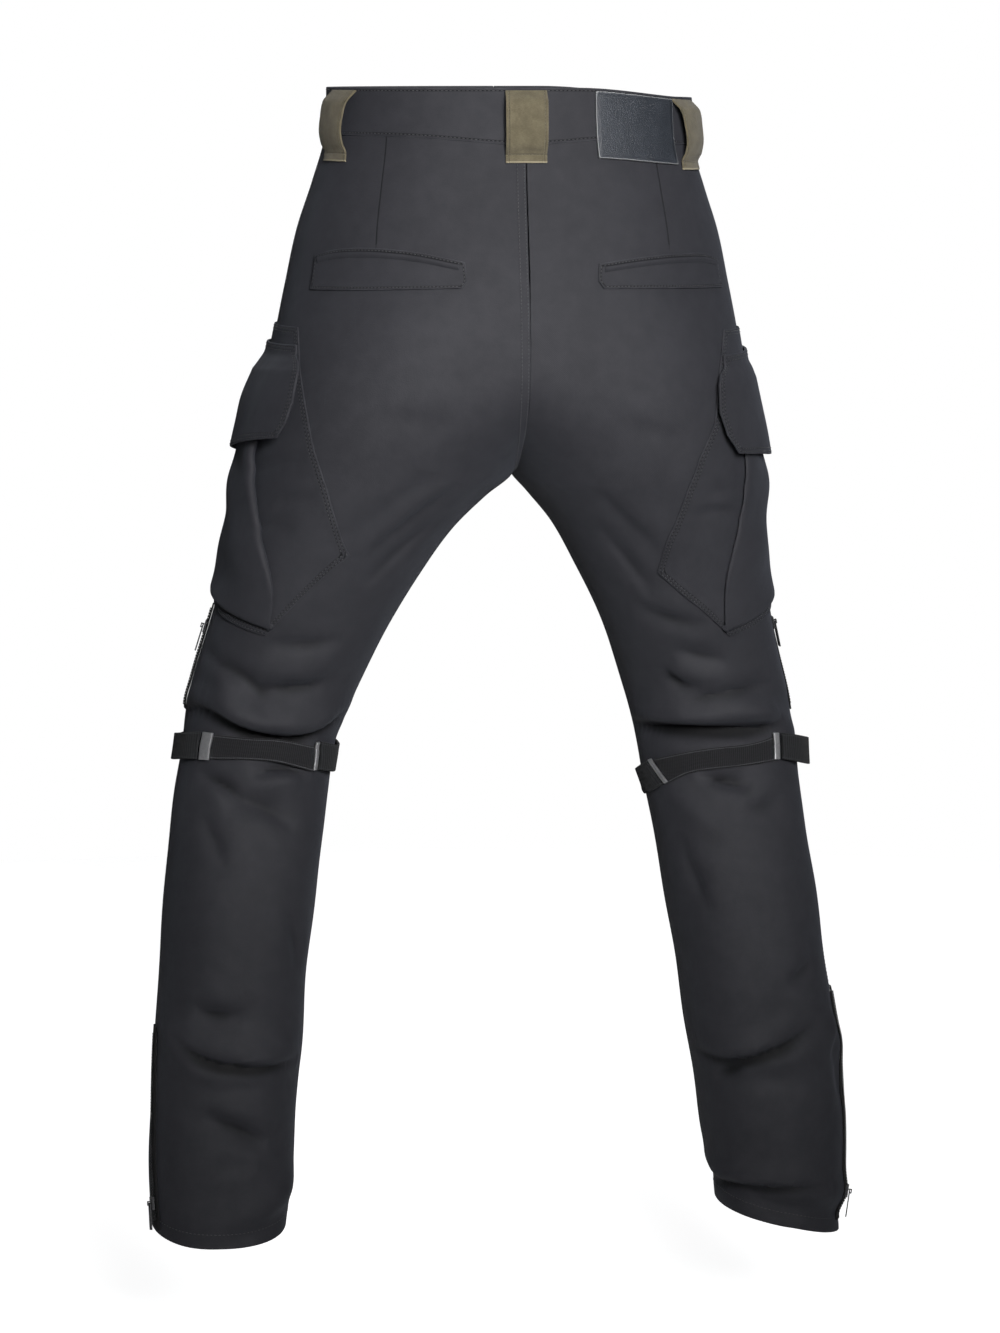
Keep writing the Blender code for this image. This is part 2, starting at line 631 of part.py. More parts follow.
def cut_cells(outline, creases):
    """The grid's triangles, cut to a closed outline and along creases."""
    bm = grid_cells(outline)
    for a, b in list(zip(outline, outline[1:] + outline[:1])) + creases:
        faces = [f for f in bm.faces if meets(f, a, b)]
        edges = {e for f in faces for e in f.edges}
        verts = {v for f in faces for v in f.verts}
        bmesh.ops.bisect_plane(
            bm,
            geom=list(verts) + list(edges) + faces,
            dist=CUT_DIST,
            plane_co=(a[0], a[1], 0.0),
            plane_no=(b[1] - a[1], a[0] - b[0], 0.0),
        )
    waste = [f for f in bm.faces if not inside(f.calc_center_median(), outline)]
    bmesh.ops.delete(bm, geom=waste, context="FACES")
    bmesh.ops.remove_doubles(bm, verts=bm.verts[:], dist=MERGE)
    bmesh.ops.triangulate(bm, faces=bm.faces[:])
    return bm


def laid(name, leg, outline, lift_at, cloth, finish, creases=()):
    """A wall of cloth over a leg, inside an outline of grid columns and rows."""
    flat = cut_cells(outline, list(creases))
    bm = bmesh.new()
    outer, inner = {}, {}
    for vert in flat.verts:
        column, row = vert.co.x, vert.co.y
        outer[vert] = bm.verts.new(leg.lifted(column, row, lift_at(column) + cloth))
        inner[vert] = bm.verts.new(leg.lifted(column, row, lift_at(column)))
    for face in flat.faces:
        bm.faces.new([outer[v] for v in face.verts])
        bm.faces.new([inner[v] for v in reversed(face.verts)])
    for edge in flat.edges:
        if edge.is_boundary:
            a, b = edge.verts
            bm.faces.new((outer[a], outer[b], inner[b]))
            bm.faces.new((outer[a], inner[b], inner[a]))
    flat.free()
    return add_object(name, bm, finish)


def patch(name, leg, spots, lift, cloth, finish):
    return laid(name, leg, [leg.cell_of(spot) for spot in spots], lambda column: lift, cloth, finish)


def wall(name, outer_rows, inner_rows, finish, ring=False):
    """A closed wall between two grids of points. A ring closes on itself round each row."""
    bm = bmesh.new()
    outer = [[bm.verts.new(p) for p in row] for row in outer_rows]
    inner = [[bm.verts.new(p) for p in row] for row in inner_rows]
    count = len(outer[0])
    steps = [(i, (i + 1) % count) for i in range(count if ring else count - 1)]
    for grid, flip in ((outer, False), (inner, True)):
        for upper, lower in zip(grid, grid[1:]):
            for i, k in steps:
                for corners in ((upper[i], upper[k], lower[k]), (upper[i], lower[k], lower[i])):
                    bm.faces.new(corners[::-1] if flip else corners)
    rims = [[(outer[j][i], inner[j][i]) for i in range(count)] for j in (0, -1)]
    for rim in rims:
        for i, k in steps:
            (a, c), (b, d) = rim[i], rim[k]
            bm.faces.new((a, b, d))
            bm.faces.new((a, d, c))
    if not ring:
        for i in (0, -1):
            side = [(outer_row[i], inner_row[i]) for outer_row, inner_row in zip(outer, inner)]
            for (a, c), (b, d) in zip(side, side[1:]):
                bm.faces.new((a, b, d))
                bm.faces.new((a, d, c))
    return add_object(name, bm, finish)


def mix_spots(a, b, t):
    return Spot(a.angle + (b.angle - a.angle) * t, a.z + (b.z - a.z) * t)


def panels(leg):
    """The front and the back of a leg, each in two parts that meet under the knee strap."""
    top, bottom = BAND_ROWS + 1, len(leg.rows) - 1
    knee = round(leg.row_of(KNEE_SEAM_Z[leg.name]))
    half = SEAM_GAP / 2.0 / (leg.rows[knee - 1] - leg.rows[knee])
    parts = (
        ("front_panel", 0, FRONT_COLUMNS, top, knee - half),
        ("front_shin", 0, FRONT_COLUMNS, knee + half, bottom),
        ("back_panel", FRONT_COLUMNS, COLUMNS, top, knee - half),
        ("back_calf", FRONT_COLUMNS, COLUMNS, knee + half, bottom),
    )
    for name, first, last, start, end in parts:
        low, high = first + HALF_SEAM, last - HALF_SEAM
        outline = [(low, start), (high, start), (high, end), (low, end)]
        laid(f"{name}_{leg.name}", leg, outline, lambda column: -CLOTH, CLOTH, "waxed_cloth")


def waistband(left, right):
    """One ring of doubled cloth."""
    way_round = [(left, i) for i in range(COLUMNS)]
    way_round += [(right, i) for i in range(COLUMNS, 0, -1)]
    grids = []
    for lift in (BAND_LIFT, BAND_LIFT - BAND_CLOTH):
        rows = []
        for j in range(BAND_ROWS + 1):
            row = [leg.lifted(i, j, lift) for leg, i in way_round]
            row[0].x = row[COLUMNS].x = 0.0
            rows.append(row)
        grids.append(rows)
    wall("waistband", grids[0], grids[1], "waxed_cloth", ring=True)


def belt_loop(name, stations):
    """A strip sewn down at both ends. Each station is a function from height to a leg and spot."""
    grids = []
    for extra in (LOOP_CLOTH, 0.0):
        grids.append([[place(row.z, row.lift + extra) for place in stations] for row in LOOP_ROWS])
    wall(name, grids[0], grids[1], "khaki_cloth")


def belt_loops(left, right):
    def at_x(leg, x, side):
        return lambda z, lift: leg.over(leg.spot_at_x(x, z, side), lift)

    def at_angle(leg, angle):
        return lambda z, lift: leg.over(Spot(angle, z), lift)

    def at_middle(z, lift):
        point = left.over(left.spot_at_x(0.0, z, -1), lift)
        point.x = 0.0
        return point

    half = LOOP_WIDTH / 2.0
    middle = [at_x(left, half, -1), at_x(left, half / 2, -1), at_middle]
    middle += [at_x(right, half / 2, -1), at_x(right, half, -1)]
    belt_loop("belt_loop_back", middle)
    for leg in (left, right):
        for name, angle in (("back", SIDE_LOOP_ANGLE), ("front", FRONT_LOOP_ANGLE)):
            centre = leg.over(Spot(angle, 0.0), 0.0)
            beside = leg.over(Spot(angle + 1.0, 0.0), 0.0)
            turn = half / (beside - centre).length
            angles = [angle - turn, angle - turn / 3, angle + turn / 3, angle + turn]
            belt_loop(f"belt_loop_{name}_{leg.name}", [at_angle(leg, a) for a in angles])


def leather_patch(leg):
    first, last = (leg.column_of(Spot(angle, 0.0)) for angle in LEATHER_ANGLES)
    columns = [first] + list(range(math.ceil(first + MERGE), math.ceil(last - MERGE))) + [last]
    rows = [leg.row_of(z) for z in LEATHER_ROWS]
    grids = []
    for lift in (LEATHER_LIFT + LEATHER, LEATHER_LIFT):
        grids.append([[leg.lifted(column, row, lift) for column in columns] for row in rows])
    wall("leather_patch", grids[0], grids[1], "patch_leather")


def waist_button(leg):
    spot = leg.spot_at_x(BUTTON_X, 0.0, 1)
    foot = leg.over(spot, BAND_LIFT + REST_GAP)
    outward = leg.at(*leg.cell_of(spot), leg.normals).normalized()
    bm = bmesh.new()
    bmesh.ops.create_cone(
        bm,
        cap_ends=True,
        segments=BUTTON_SIDES,
        radius1=BUTTON_RADIUS,
        radius2=BUTTON_RADIUS * BUTTON_TAPER,
        depth=BUTTON_HEIGHT,
    )
    turn = Vector((0.0, 0.0, 1.0)).rotation_difference(outward).to_matrix().to_4x4()
    place = Matrix.Translation(foot + outward * BUTTON_HEIGHT / 2.0) @ turn
    bmesh.ops.transform(bm, matrix=place, verts=bm.verts)
    add_object("waist_button", bm, "steel")


def pocket_bag(leg, rear, front):
    """The bellows pocket: a wall that stands off the patch and is open at the top."""

    def edge_point(edge, t):
        place = t * (len(edge) - 1)
        k = min(int(place), len(edge) - 2)
        return mix_spots(edge[k], edge[k + 1], place - k)

    depth = abs(rear[0].z - rear[-1].z)
    grids = []
    for edge_steps, skin in ((OUTER_EDGE, 0.0), (INNER_EDGE, POCKET_CLOTH)):
        downs = [(t / POCKET_ROWS * (1.0 - 2.0 * edge_steps[-1].inset / depth), 1.0) for t in range(POCKET_ROWS)]
        downs += [(1.0 - step.inset / depth, step.share) for step in reversed(edge_steps)]
        rows = []
        for t, down_share in downs:
            a, b = edge_point(rear, t), edge_point(front, t)
            width = (leg.over(a, 0.0) - leg.over(mix_spots(a, b, 0.5), 0.0)).length
            width += (leg.over(mix_spots(a, b, 0.5), 0.0) - leg.over(b, 0.0)).length
            across = [(step.inset / width, step.share) for step in edge_steps]
            across += [(middle, 1.0) for middle in POCKET_MIDDLES]
            across += [(1.0 - step.inset / width, step.share) for step in reversed(edge_steps)]
            row = []
            for s, share in across:
                lift = POCKET_SEAT + (POCKET_HEIGHT - POCKET_SEAT) * min(share, down_share)
                lift = max(POCKET_SEAT, lift - skin)
                row.append(leg.over(mix_spots(a, b, s), lift))
            rows.append(row)
        grids.append(rows)
    wall(f"pocket_bag_{leg.name}", grids[0], grids[1], "waxed_cloth")


def pocket_flap(leg, rows):
    grids = []
    for cloth in (FLAP_CLOTH, 0.0):
        grid = []
        for row in rows:
            shares = (0.0,) + FLAP_MIDDLES + (1.0,)
            grid.append([leg.over(mix_spots(row.rear, row.front, s), row.lift + cloth) for s in shares])
        grids.append(grid)
    wall(f"pocket_flap_{leg.name}", grids[0], grids[1], "waxed_cloth")


def strap_tab(name, leg, rows):
    """A stiff tab that stands off the cloth near its bar and is sewn down at its far end."""
    creases = [(leg.cell_of(row.top), leg.cell_of(row.bottom)) for row in rows]
    places = sorted(((top[0] + bottom[0]) / 2.0, row.lift) for (top, bottom), row in zip(creases, rows))

    def lift_at(column):
        for (start, low), (end, high) in zip(places, places[1:]):
            if column <= end:
                return low + (high - low) * max(0.0, (column - start) / (end - start))
        return places[-1][1]

    outline = [top for top, bottom in creases] + [bottom for top, bottom in reversed(creases)]
    laid(name, leg, outline, lift_at, WEBBING, "webbing", creases[1:-1])


def knee_strap(leg, elastic, bars, tabs):
    patch(f"knee_elastic_{leg.name}", leg, elastic, REST_GAP, ELASTIC, "elastic")
    for place in ("outer", "inner"):
        name = f"{place}_{leg.name}"
        patch(f"strap_bar_{name}", leg, bars[place], BAR_LIFT, BAR_HEIGHT, "steel")
        strap_tab(f"strap_tab_{name}", leg, tabs[place])


class Frame:
    """Axes at a spot of the cloth: down the zip, across it and out from the cloth."""

    def __init__(self, leg, ends, lift):
        here = ends.slider
        part = SLIDER_LENGTH / 2.0 / abs(ends.bottom.z - ends.top.z)
        step = mix_spots(ends.top, ends.bottom, part)
        lean = (step.angle - ends.top.angle, step.z - ends.top.z)
        above = leg.over(Spot(here.angle - lean[0], here.z - lean[1]), 0.0)
        below = leg.over(Spot(here.angle + lean[0], here.z + lean[1]), 0.0)
        ahead = leg.over(Spot(here.angle - SLIDER_TURN, here.z), 0.0)
        behind = leg.over(Spot(here.angle + SLIDER_TURN, here.z), 0.0)
        self.down = (below - above).normalized()
        self.out = leg.side * self.down.cross(behind - ahead).normalized()
        self.across = self.down.cross(self.out)
        self.centre = leg.over(here, 0.0) + self.out * lift

    def point(self, across, down, out):
        return self.centre + self.across * across + self.down * down + self.out * out


def prism(bm, frame, profile, width):
    """A profile of (down, out) points, as wide as width across the zip."""
    sides = [[bm.verts.new(frame.point(x, d, o)) for d, o in profile] for x in (-width / 2, width / 2)]
    bm.faces.new(sides[0])
    bm.faces.new(sides[1][::-1])
    for k in range(len(profile)):
        n = (k + 1) % len(profile)
        bm.faces.new((sides[0][k], sides[0][n], sides[1][n], sides[1][k]))


def slider(leg, place, frame):
    """The zip's slider. Its hook takes the pull's cross bar, on the frame's own centre line."""
    base_out = -HOOK_WINDOW / 2.0
    base_in = base_out - SLIDER_BASE
    half = SLIDER_LENGTH / 2.0
    bm = bmesh.new()
    prism(bm, frame, [(-half, base_in), (-half, base_out), (half, base_out), (half, base_in)], SLIDER_WIDTH)
    base = add_object(f"zip_slider_{place}_{leg.name}", bm, "steel")
    top = HOOK_WINDOW / 2.0
    reach = HOOK_WINDOW / 2.0
    bm = bmesh.new()
    hook = [
        (-reach - HOOK_WALL, base_out - HOOK_WALL),
        (-reach - HOOK_WALL, top + HOOK_WALL),
        (reach + HOOK_WALL, top + HOOK_WALL),
        (reach + HOOK_WALL, base_out + HOOK_WALL),
        (reach, base_out + HOOK_WALL),
        (reach, top),
        (-reach, top),
        (-reach, base_out - HOOK_WALL),
    ]
    prism(bm, frame, hook, HOOK_WIDTH)
    arm = add_object(f"hook_{place}_{leg.name}", bm, "steel")
    join = base.modifiers.new("hook", "BOOLEAN")
    join.operation = "UNION"
    join.object = arm
    arm.hide_render = True
    arm.display_type = "WIRE"


def pull(leg, place, frame):
    """The pull tab: a plate with an eye, hanging down the zip from the hook."""
    thick = PULL_THICKNESS / 2.0
    outer = PULL_WIDTH / 2.0
    eye = PULL_EYE / 2.0
    bar = PULL_BAR / 2.0
    lower = bar + PULL_EYE
    loops = (
        ((-outer, -bar), (outer, -bar), (outer, PULL_LENGTH), (-outer, PULL_LENGTH)),
        ((-eye, bar), (eye, bar), (eye, lower), (-eye, lower)),
    )
    bm = bmesh.new()
    made = {}
    for level, out in (("front", thick), ("back", -thick)):
        for index, loop in enumerate(loops):
            made[level, index] = [bm.verts.new(frame.point(x, d, out)) for x, d in loop]
    for k in range(4):
        n = (k + 1) % 4
        for level in ("front", "back"):
            a, b = made[level, 0], made[level, 1]
            corners = (a[k], a[n], b[n], b[k])
            bm.faces.new(corners if level == "front" else corners[::-1])
        for index in (0, 1):
            a, b = made["front", index], made["back", index]
            bm.faces.new((a[k], b[k], b[n], a[n]) if index == 0 else (a[n], b[n], b[k], a[k]))
    add_object(f"zip_pull_{place}_{leg.name}", bm, "steel")


def zip_strip(leg, place, ends):
    """The tape with its slider and pull."""
    mid = mix_spots(ends.top, ends.bottom, 0.5)
    one_degree = (leg.over(Spot(mid.angle + 1.0, mid.z), 0.0) - leg.over(mid, 0.0)).length
    half = ZIP_WIDTH / 2.0 / one_degree
    corners = [
        Spot(ends.top.angle - half, ends.top.z),
        Spot(ends.top.angle + half, ends.top.z),
        Spot(ends.bottom.angle + half, ends.bottom.z),
        Spot(ends.bottom.angle - half, ends.bottom.z),
    ]
    patch(f"{place}_zip_{leg.name}", leg, corners, REST_GAP, ZIP_TAPE, "zip_tape")
    lift = SLIDER_LIFT + SLIDER_BASE + HOOK_WINDOW / 2.0
    frame = Frame(leg, ends, lift)
    slider(leg, place, frame)
    pull(leg, place, frame)


def main():
    clear_scene()
    left = Leg(1, LEFT_SECTIONS, LEFT_FOLDS, LEFT_HEM)
    right = Leg(-1, RIGHT_SECTIONS, RIGHT_FOLDS, RIGHT_HEM)
    waistband(left, right)
    waist_button(left)
    belt_loops(left, right)
    leather_patch(right)
    patch("fly_placket", left, FLY, REST_GAP, PATCH_CLOTH, "waxed_cloth")
    for leg in (left, right):
        panels(leg)
        for place, ends in ZIPS[leg.name].items():
            zip_strip(leg, place, ends)
    patch("back_welt_left", left, LEFT_WELT, REST_GAP, WELT_CLOTH, "waxed_cloth")
    patch("back_welt_right", right, RIGHT_WELT, REST_GAP, WELT_CLOTH, "waxed_cloth")
    patch("side_patch_left", left, LEFT_PATCH, REST_GAP, PATCH_CLOTH, "waxed_cloth")
    patch("side_patch_right", right, RIGHT_PATCH, REST_GAP, PATCH_CLOTH, "waxed_cloth")
    pocket_bag(left, LEFT_POCKET_REAR, LEFT_POCKET_FRONT)
    pocket_bag(right, RIGHT_POCKET_REAR, RIGHT_POCKET_FRONT)
    pocket_flap(left, LEFT_FLAP)
    pocket_flap(right, RIGHT_FLAP)
    knee_strap(left, LEFT_ELASTIC, LEFT_BARS, LEFT_TABS)
    knee_strap(right, RIGHT_ELASTIC, RIGHT_BARS, RIGHT_TABS)


main()
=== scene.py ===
"""Motorcycle trousers in the hollow form that they keep while worn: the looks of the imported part.

Metres, +Z up. The front faces -Y and the wearer's left is +X. Each leg's form repeats the sizes of
the part's solids, and every piece of cloth is a fine sheet laid over that form.
"""

import logging
import math
from dataclasses import dataclass, field
from enum import Enum
from typing import NamedTuple

import bpy
import numpy as np
from mathutils import Matrix, Vector

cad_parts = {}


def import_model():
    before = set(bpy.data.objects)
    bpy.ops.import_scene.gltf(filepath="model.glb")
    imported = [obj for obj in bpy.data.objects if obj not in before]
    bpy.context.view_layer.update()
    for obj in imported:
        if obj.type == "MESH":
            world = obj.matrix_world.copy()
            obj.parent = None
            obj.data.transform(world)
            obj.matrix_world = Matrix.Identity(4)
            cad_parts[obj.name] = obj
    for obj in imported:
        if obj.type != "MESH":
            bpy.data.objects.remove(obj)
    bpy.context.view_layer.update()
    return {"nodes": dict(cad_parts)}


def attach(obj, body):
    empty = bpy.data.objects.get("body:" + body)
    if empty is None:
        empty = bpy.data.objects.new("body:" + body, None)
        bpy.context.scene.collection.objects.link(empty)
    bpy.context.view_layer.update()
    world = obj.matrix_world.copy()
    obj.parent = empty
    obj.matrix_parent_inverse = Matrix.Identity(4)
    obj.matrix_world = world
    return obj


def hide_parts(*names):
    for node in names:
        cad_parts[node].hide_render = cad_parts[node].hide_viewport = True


LOG = logging.getLogger("trousers")
BODY = "trousers"

# Cloth and gaps
CLOTH = 0.0018
SEAM_GAP = 0.0003
REST_GAP = 0.0006
PATCH_CLOTH = 0.0014
WELT_CLOTH = 0.0016

# The waistband and the top of the panels
BAND_TOP = 0.0205
BAND_BOTTOM = -0.0200
PANEL_TOP = -0.0203

# The fork of the legs
CROTCH_Z = -0.311
FORK_HEIGHT = 0.170
FORK_EASE = 0.020
FORK_CROWDING = 3.0
WEB_SHARE = 0.62
ROUNDNESS = 2.25

# Columns round each leg
FRONT_COLUMNS = 8
BACK_COLUMNS = 12
COLUMNS = FRONT_COLUMNS + BACK_COLUMNS
HALF_SEAM = 0.012
TURN_STEP = 0.02
RISE_STEP = 0.002
HEM_BLEND = 0.100

# The side seam turns towards the heel below the knee
SEAM_TURN = math.radians(24)
SEAM_TURN_TOP = -0.640
SEAM_TURN_BOTTOM = -0.960


class Section(NamedTuple):
    """One level of a leg, with inner 0 above the fork."""

    z: float
    inner: float
    outer: float
    front: float
    mid: float
    back: float


class Fold(NamedTuple):
    """A broad soft ridge of the solids, or a trough where its height is negative."""

    angle: float
    z: float
    tilt: float
    length: float
    width: float
    height: float


class Spot(NamedTuple):
    """A place on a leg: 0 degrees at the inseam, 90 front, 180 outer side, 270 back."""

    angle: float
    z: float


class Crease(NamedTuple):
    """A narrow crease along a few spots, steeper on one side, with a roll of cloth beside it."""

    path: tuple[Spot, ...]
    width: float
    height: float
    lean: float


class Hem(NamedTuple):
    """Where a leg ends, and how far it drops at the heel and at the outer side."""

    z: float
    back_drop: float
    outer_drop: float


class Slot(Enum):
    """Material slots of the record."""

    WAXED = "waxed_cloth"
    KHAKI = "khaki_cloth"
    LEATHER = "patch_leather"
    WEBBING = "webbing"
    ELASTIC = "elastic"
    TAPE = "zip_tape"
    STEEL = "steel"


class Border(Enum):
    """The four borders of a sheet's grid."""

    TOP = "top"
    BOTTOM = "bottom"
    START = "start"
    END = "end"


class Held(Enum):
    """How a sheet of cloth is held."""

    HUNG = "hung"
    LAID = "laid"
    FOLDED = "folded"
    STRETCHED = "stretched"


LEFT_SECTIONS = (
    Section(0.030, 0.000, 0.157, -0.112, 0.000, 0.112),
    Section(-0.020, 0.000, 0.1595, -0.117, 0.000, 0.115),
    Section(-0.060, 0.000, 0.171, -0.122, 0.001, 0.121),
    Section(-0.100, 0.000, 0.184, -0.126, 0.002, 0.131),
    Section(-0.150, 0.000, 0.196, -0.128, 0.004, 0.142),
    Section(-0.200, 0.000, 0.206, -0.127, 0.006, 0.148),
    Section(-0.250, 0.000, 0.218, -0.122, 0.008, 0.146),
    Section(-0.285, 0.000, 0.226, -0.118, 0.010, 0.139),
    Section(-0.311, 0.000, 0.231, -0.114, 0.010, 0.131),
    Section(-0.330, 0.022, 0.235, -0.112, 0.010, 0.125),
    Section(-0.360, 0.052, 0.241, -0.108, 0.009, 0.115),
    Section(-0.400, 0.081, 0.250, -0.103, 0.007, 0.104),
    Section(-0.440, 0.105, 0.262, -0.098, 0.004, 0.094),
    Section(-0.480, 0.125, 0.274, -0.092, 0.000, 0.084),
    Section(-0.520, 0.143, 0.284, -0.086, -0.004, 0.074),
    Section(-0.555, 0.155, 0.289, -0.081, -0.005, 0.064),
    Section(-0.590, 0.161, 0.295, -0.076, -0.002, 0.072),
    Section(-0.630, 0.166, 0.300, -0.069, 0.006, 0.084),
    Section(-0.680, 0.173, 0.306, -0.058, 0.016, 0.094),
    Section(-0.740, 0.182, 0.311, -0.047, 0.026, 0.101),
    Section(-0.800, 0.187, 0.316, -0.037, 0.035, 0.105),
    Section(-0.860, 0.194, 0.321, -0.027, 0.043, 0.109),
    Section(-0.920, 0.198, 0.323, -0.015, 0.051, 0.115),
    Section(-0.970, 0.205, 0.321, -0.004, 0.058, 0.120),
    Section(-1.010, 0.210, 0.315, 0.004, 0.063, 0.123),
)
RIGHT_SECTIONS = (
    Section(0.030, 0.000, 0.157, -0.112, 0.000, 0.112),
    Section(-0.020, 0.000, 0.1595, -0.117, 0.000, 0.115),
    Section(-0.060, 0.000, 0.170, -0.122, 0.001, 0.121),
    Section(-0.100, 0.000, 0.181, -0.126, 0.002, 0.131),
    Section(-0.150, 0.000, 0.191, -0.128, 0.004, 0.142),
    Section(-0.200, 0.000, 0.199, -0.127, 0.006, 0.148),
    Section(-0.250, 0.000, 0.207, -0.122, 0.008, 0.146),
    Section(-0.285, 0.000, 0.212, -0.118, 0.010, 0.139),
    Section(-0.311, 0.000, 0.216, -0.114, 0.010, 0.131),
    Section(-0.330, 0.015, 0.217, -0.112, 0.009, 0.122),
    Section(-0.360, 0.039, 0.219, -0.110, 0.007, 0.109),
    Section(-0.400, 0.061, 0.224, -0.107, 0.003, 0.095),
    Section(-0.440, 0.080, 0.231, -0.103, -0.002, 0.082),
    Section(-0.480, 0.096, 0.241, -0.099, -0.008, 0.070),
    Section(-0.520, 0.109, 0.252, -0.095, -0.014, 0.059),
    Section(-0.555, 0.117, 0.258, -0.092, -0.017, 0.051),
    Section(-0.590, 0.123, 0.260, -0.088, -0.014, 0.059),
    Section(-0.630, 0.130, 0.265, -0.081, -0.006, 0.070),
    Section(-0.680, 0.138, 0.273, -0.073, 0.002, 0.079),
    Section(-0.740, 0.148, 0.280, -0.065, 0.008, 0.083),
    Section(-0.800, 0.156, 0.289, -0.058, 0.012, 0.084),
    Section(-0.860, 0.166, 0.296, -0.051, 0.016, 0.085),
    Section(-0.920, 0.174, 0.298, -0.044, 0.020, 0.086),
    Section(-0.970, 0.182, 0.294, -0.038, 0.023, 0.086),
    Section(-1.010, 0.186, 0.289, -0.035, 0.026, 0.086),
)
LEFT_FOLDS = (
    Fold(262, -0.518, -6, 0.120, 0.014, 0.0075),
    Fold(275, -0.536, -6, 0.120, 0.010, -0.0070),
    Fold(234, -0.497, -48, 0.085, 0.012, 0.0040),
    Fold(285, -0.493, 6, 0.070, 0.016, -0.0050),
    Fold(262, -0.446, 20, 0.090, 0.015, -0.0035),
    Fold(272, -0.595, -22, 0.060, 0.010, -0.0035),
    Fold(290, -0.572, 14, 0.050, 0.010, 0.0030),
    Fold(256, -0.772, 0, 0.060, 0.013, -0.0035),
    Fold(228, -0.802, -30, 0.060, 0.011, 0.0050),
    Fold(285, -0.818, 2, 0.080, 0.012, 0.0050),
    Fold(290, -0.835, 2, 0.085, 0.012, -0.0035),
    Fold(277, -0.872, -22, 0.070, 0.013, -0.0045),
    Fold(315, -0.930, 12, 0.060, 0.014, 0.0055),
    Fold(300, -0.948, 10, 0.060, 0.010, -0.0045),
    Fold(95, -0.500, 8, 0.080, 0.014, 0.0040),
    Fold(80, -0.620, -10, 0.080, 0.014, -0.0040),
    Fold(95, -0.860, -12, 0.080, 0.014, 0.0050),
    Fold(80, -0.905, 10, 0.080, 0.014, -0.0045),
)
RIGHT_FOLDS = (
    Fold(285, -0.522, -3, 0.105, 0.012, 0.0060),
    Fold(285, -0.538, -3, 0.110, 0.010, -0.0070),
    Fold(228, -0.506, 24, 0.070, 0.014, -0.0050),
    Fold(243, -0.524, 22, 0.090, 0.010, 0.0040),
    Fold(295, -0.499, -4, 0.070, 0.013, -0.0045),
    Fold(278, -0.470, -6, 0.070, 0.014, -0.0035),
    Fold(276, -0.585, -8, 0.060, 0.010, -0.0035),
    Fold(300, -0.610, 30, 0.060, 0.012, 0.0030),
    Fold(315, -0.680, -50, 0.050, 0.012, -0.0030),
    Fold(285, -0.824, 0, 0.080, 0.013, 0.0055),
    Fold(224, -0.798, 38, 0.070, 0.013, 0.0050),
    Fold(292, -0.844, 0, 0.070, 0.013, -0.0040),
    Fold(208, -0.850, 80, 0.040, 0.010, -0.0030),
    Fold(275, -0.942, 2, 0.160, 0.012, 0.0055),
    Fold(275, -0.960, 2, 0.150, 0.009, -0.0055),
    Fold(90, -0.505, -8, 0.080, 0.014, 0.0040),
    Fold(100, -0.640, 10, 0.080, 0.014, -0.0040),
    Fold(85, -0.850, 12, 0.080, 0.014, 0.0050),
    Fold(95, -0.900, -10, 0.080, 0.014, -0.0045),
)
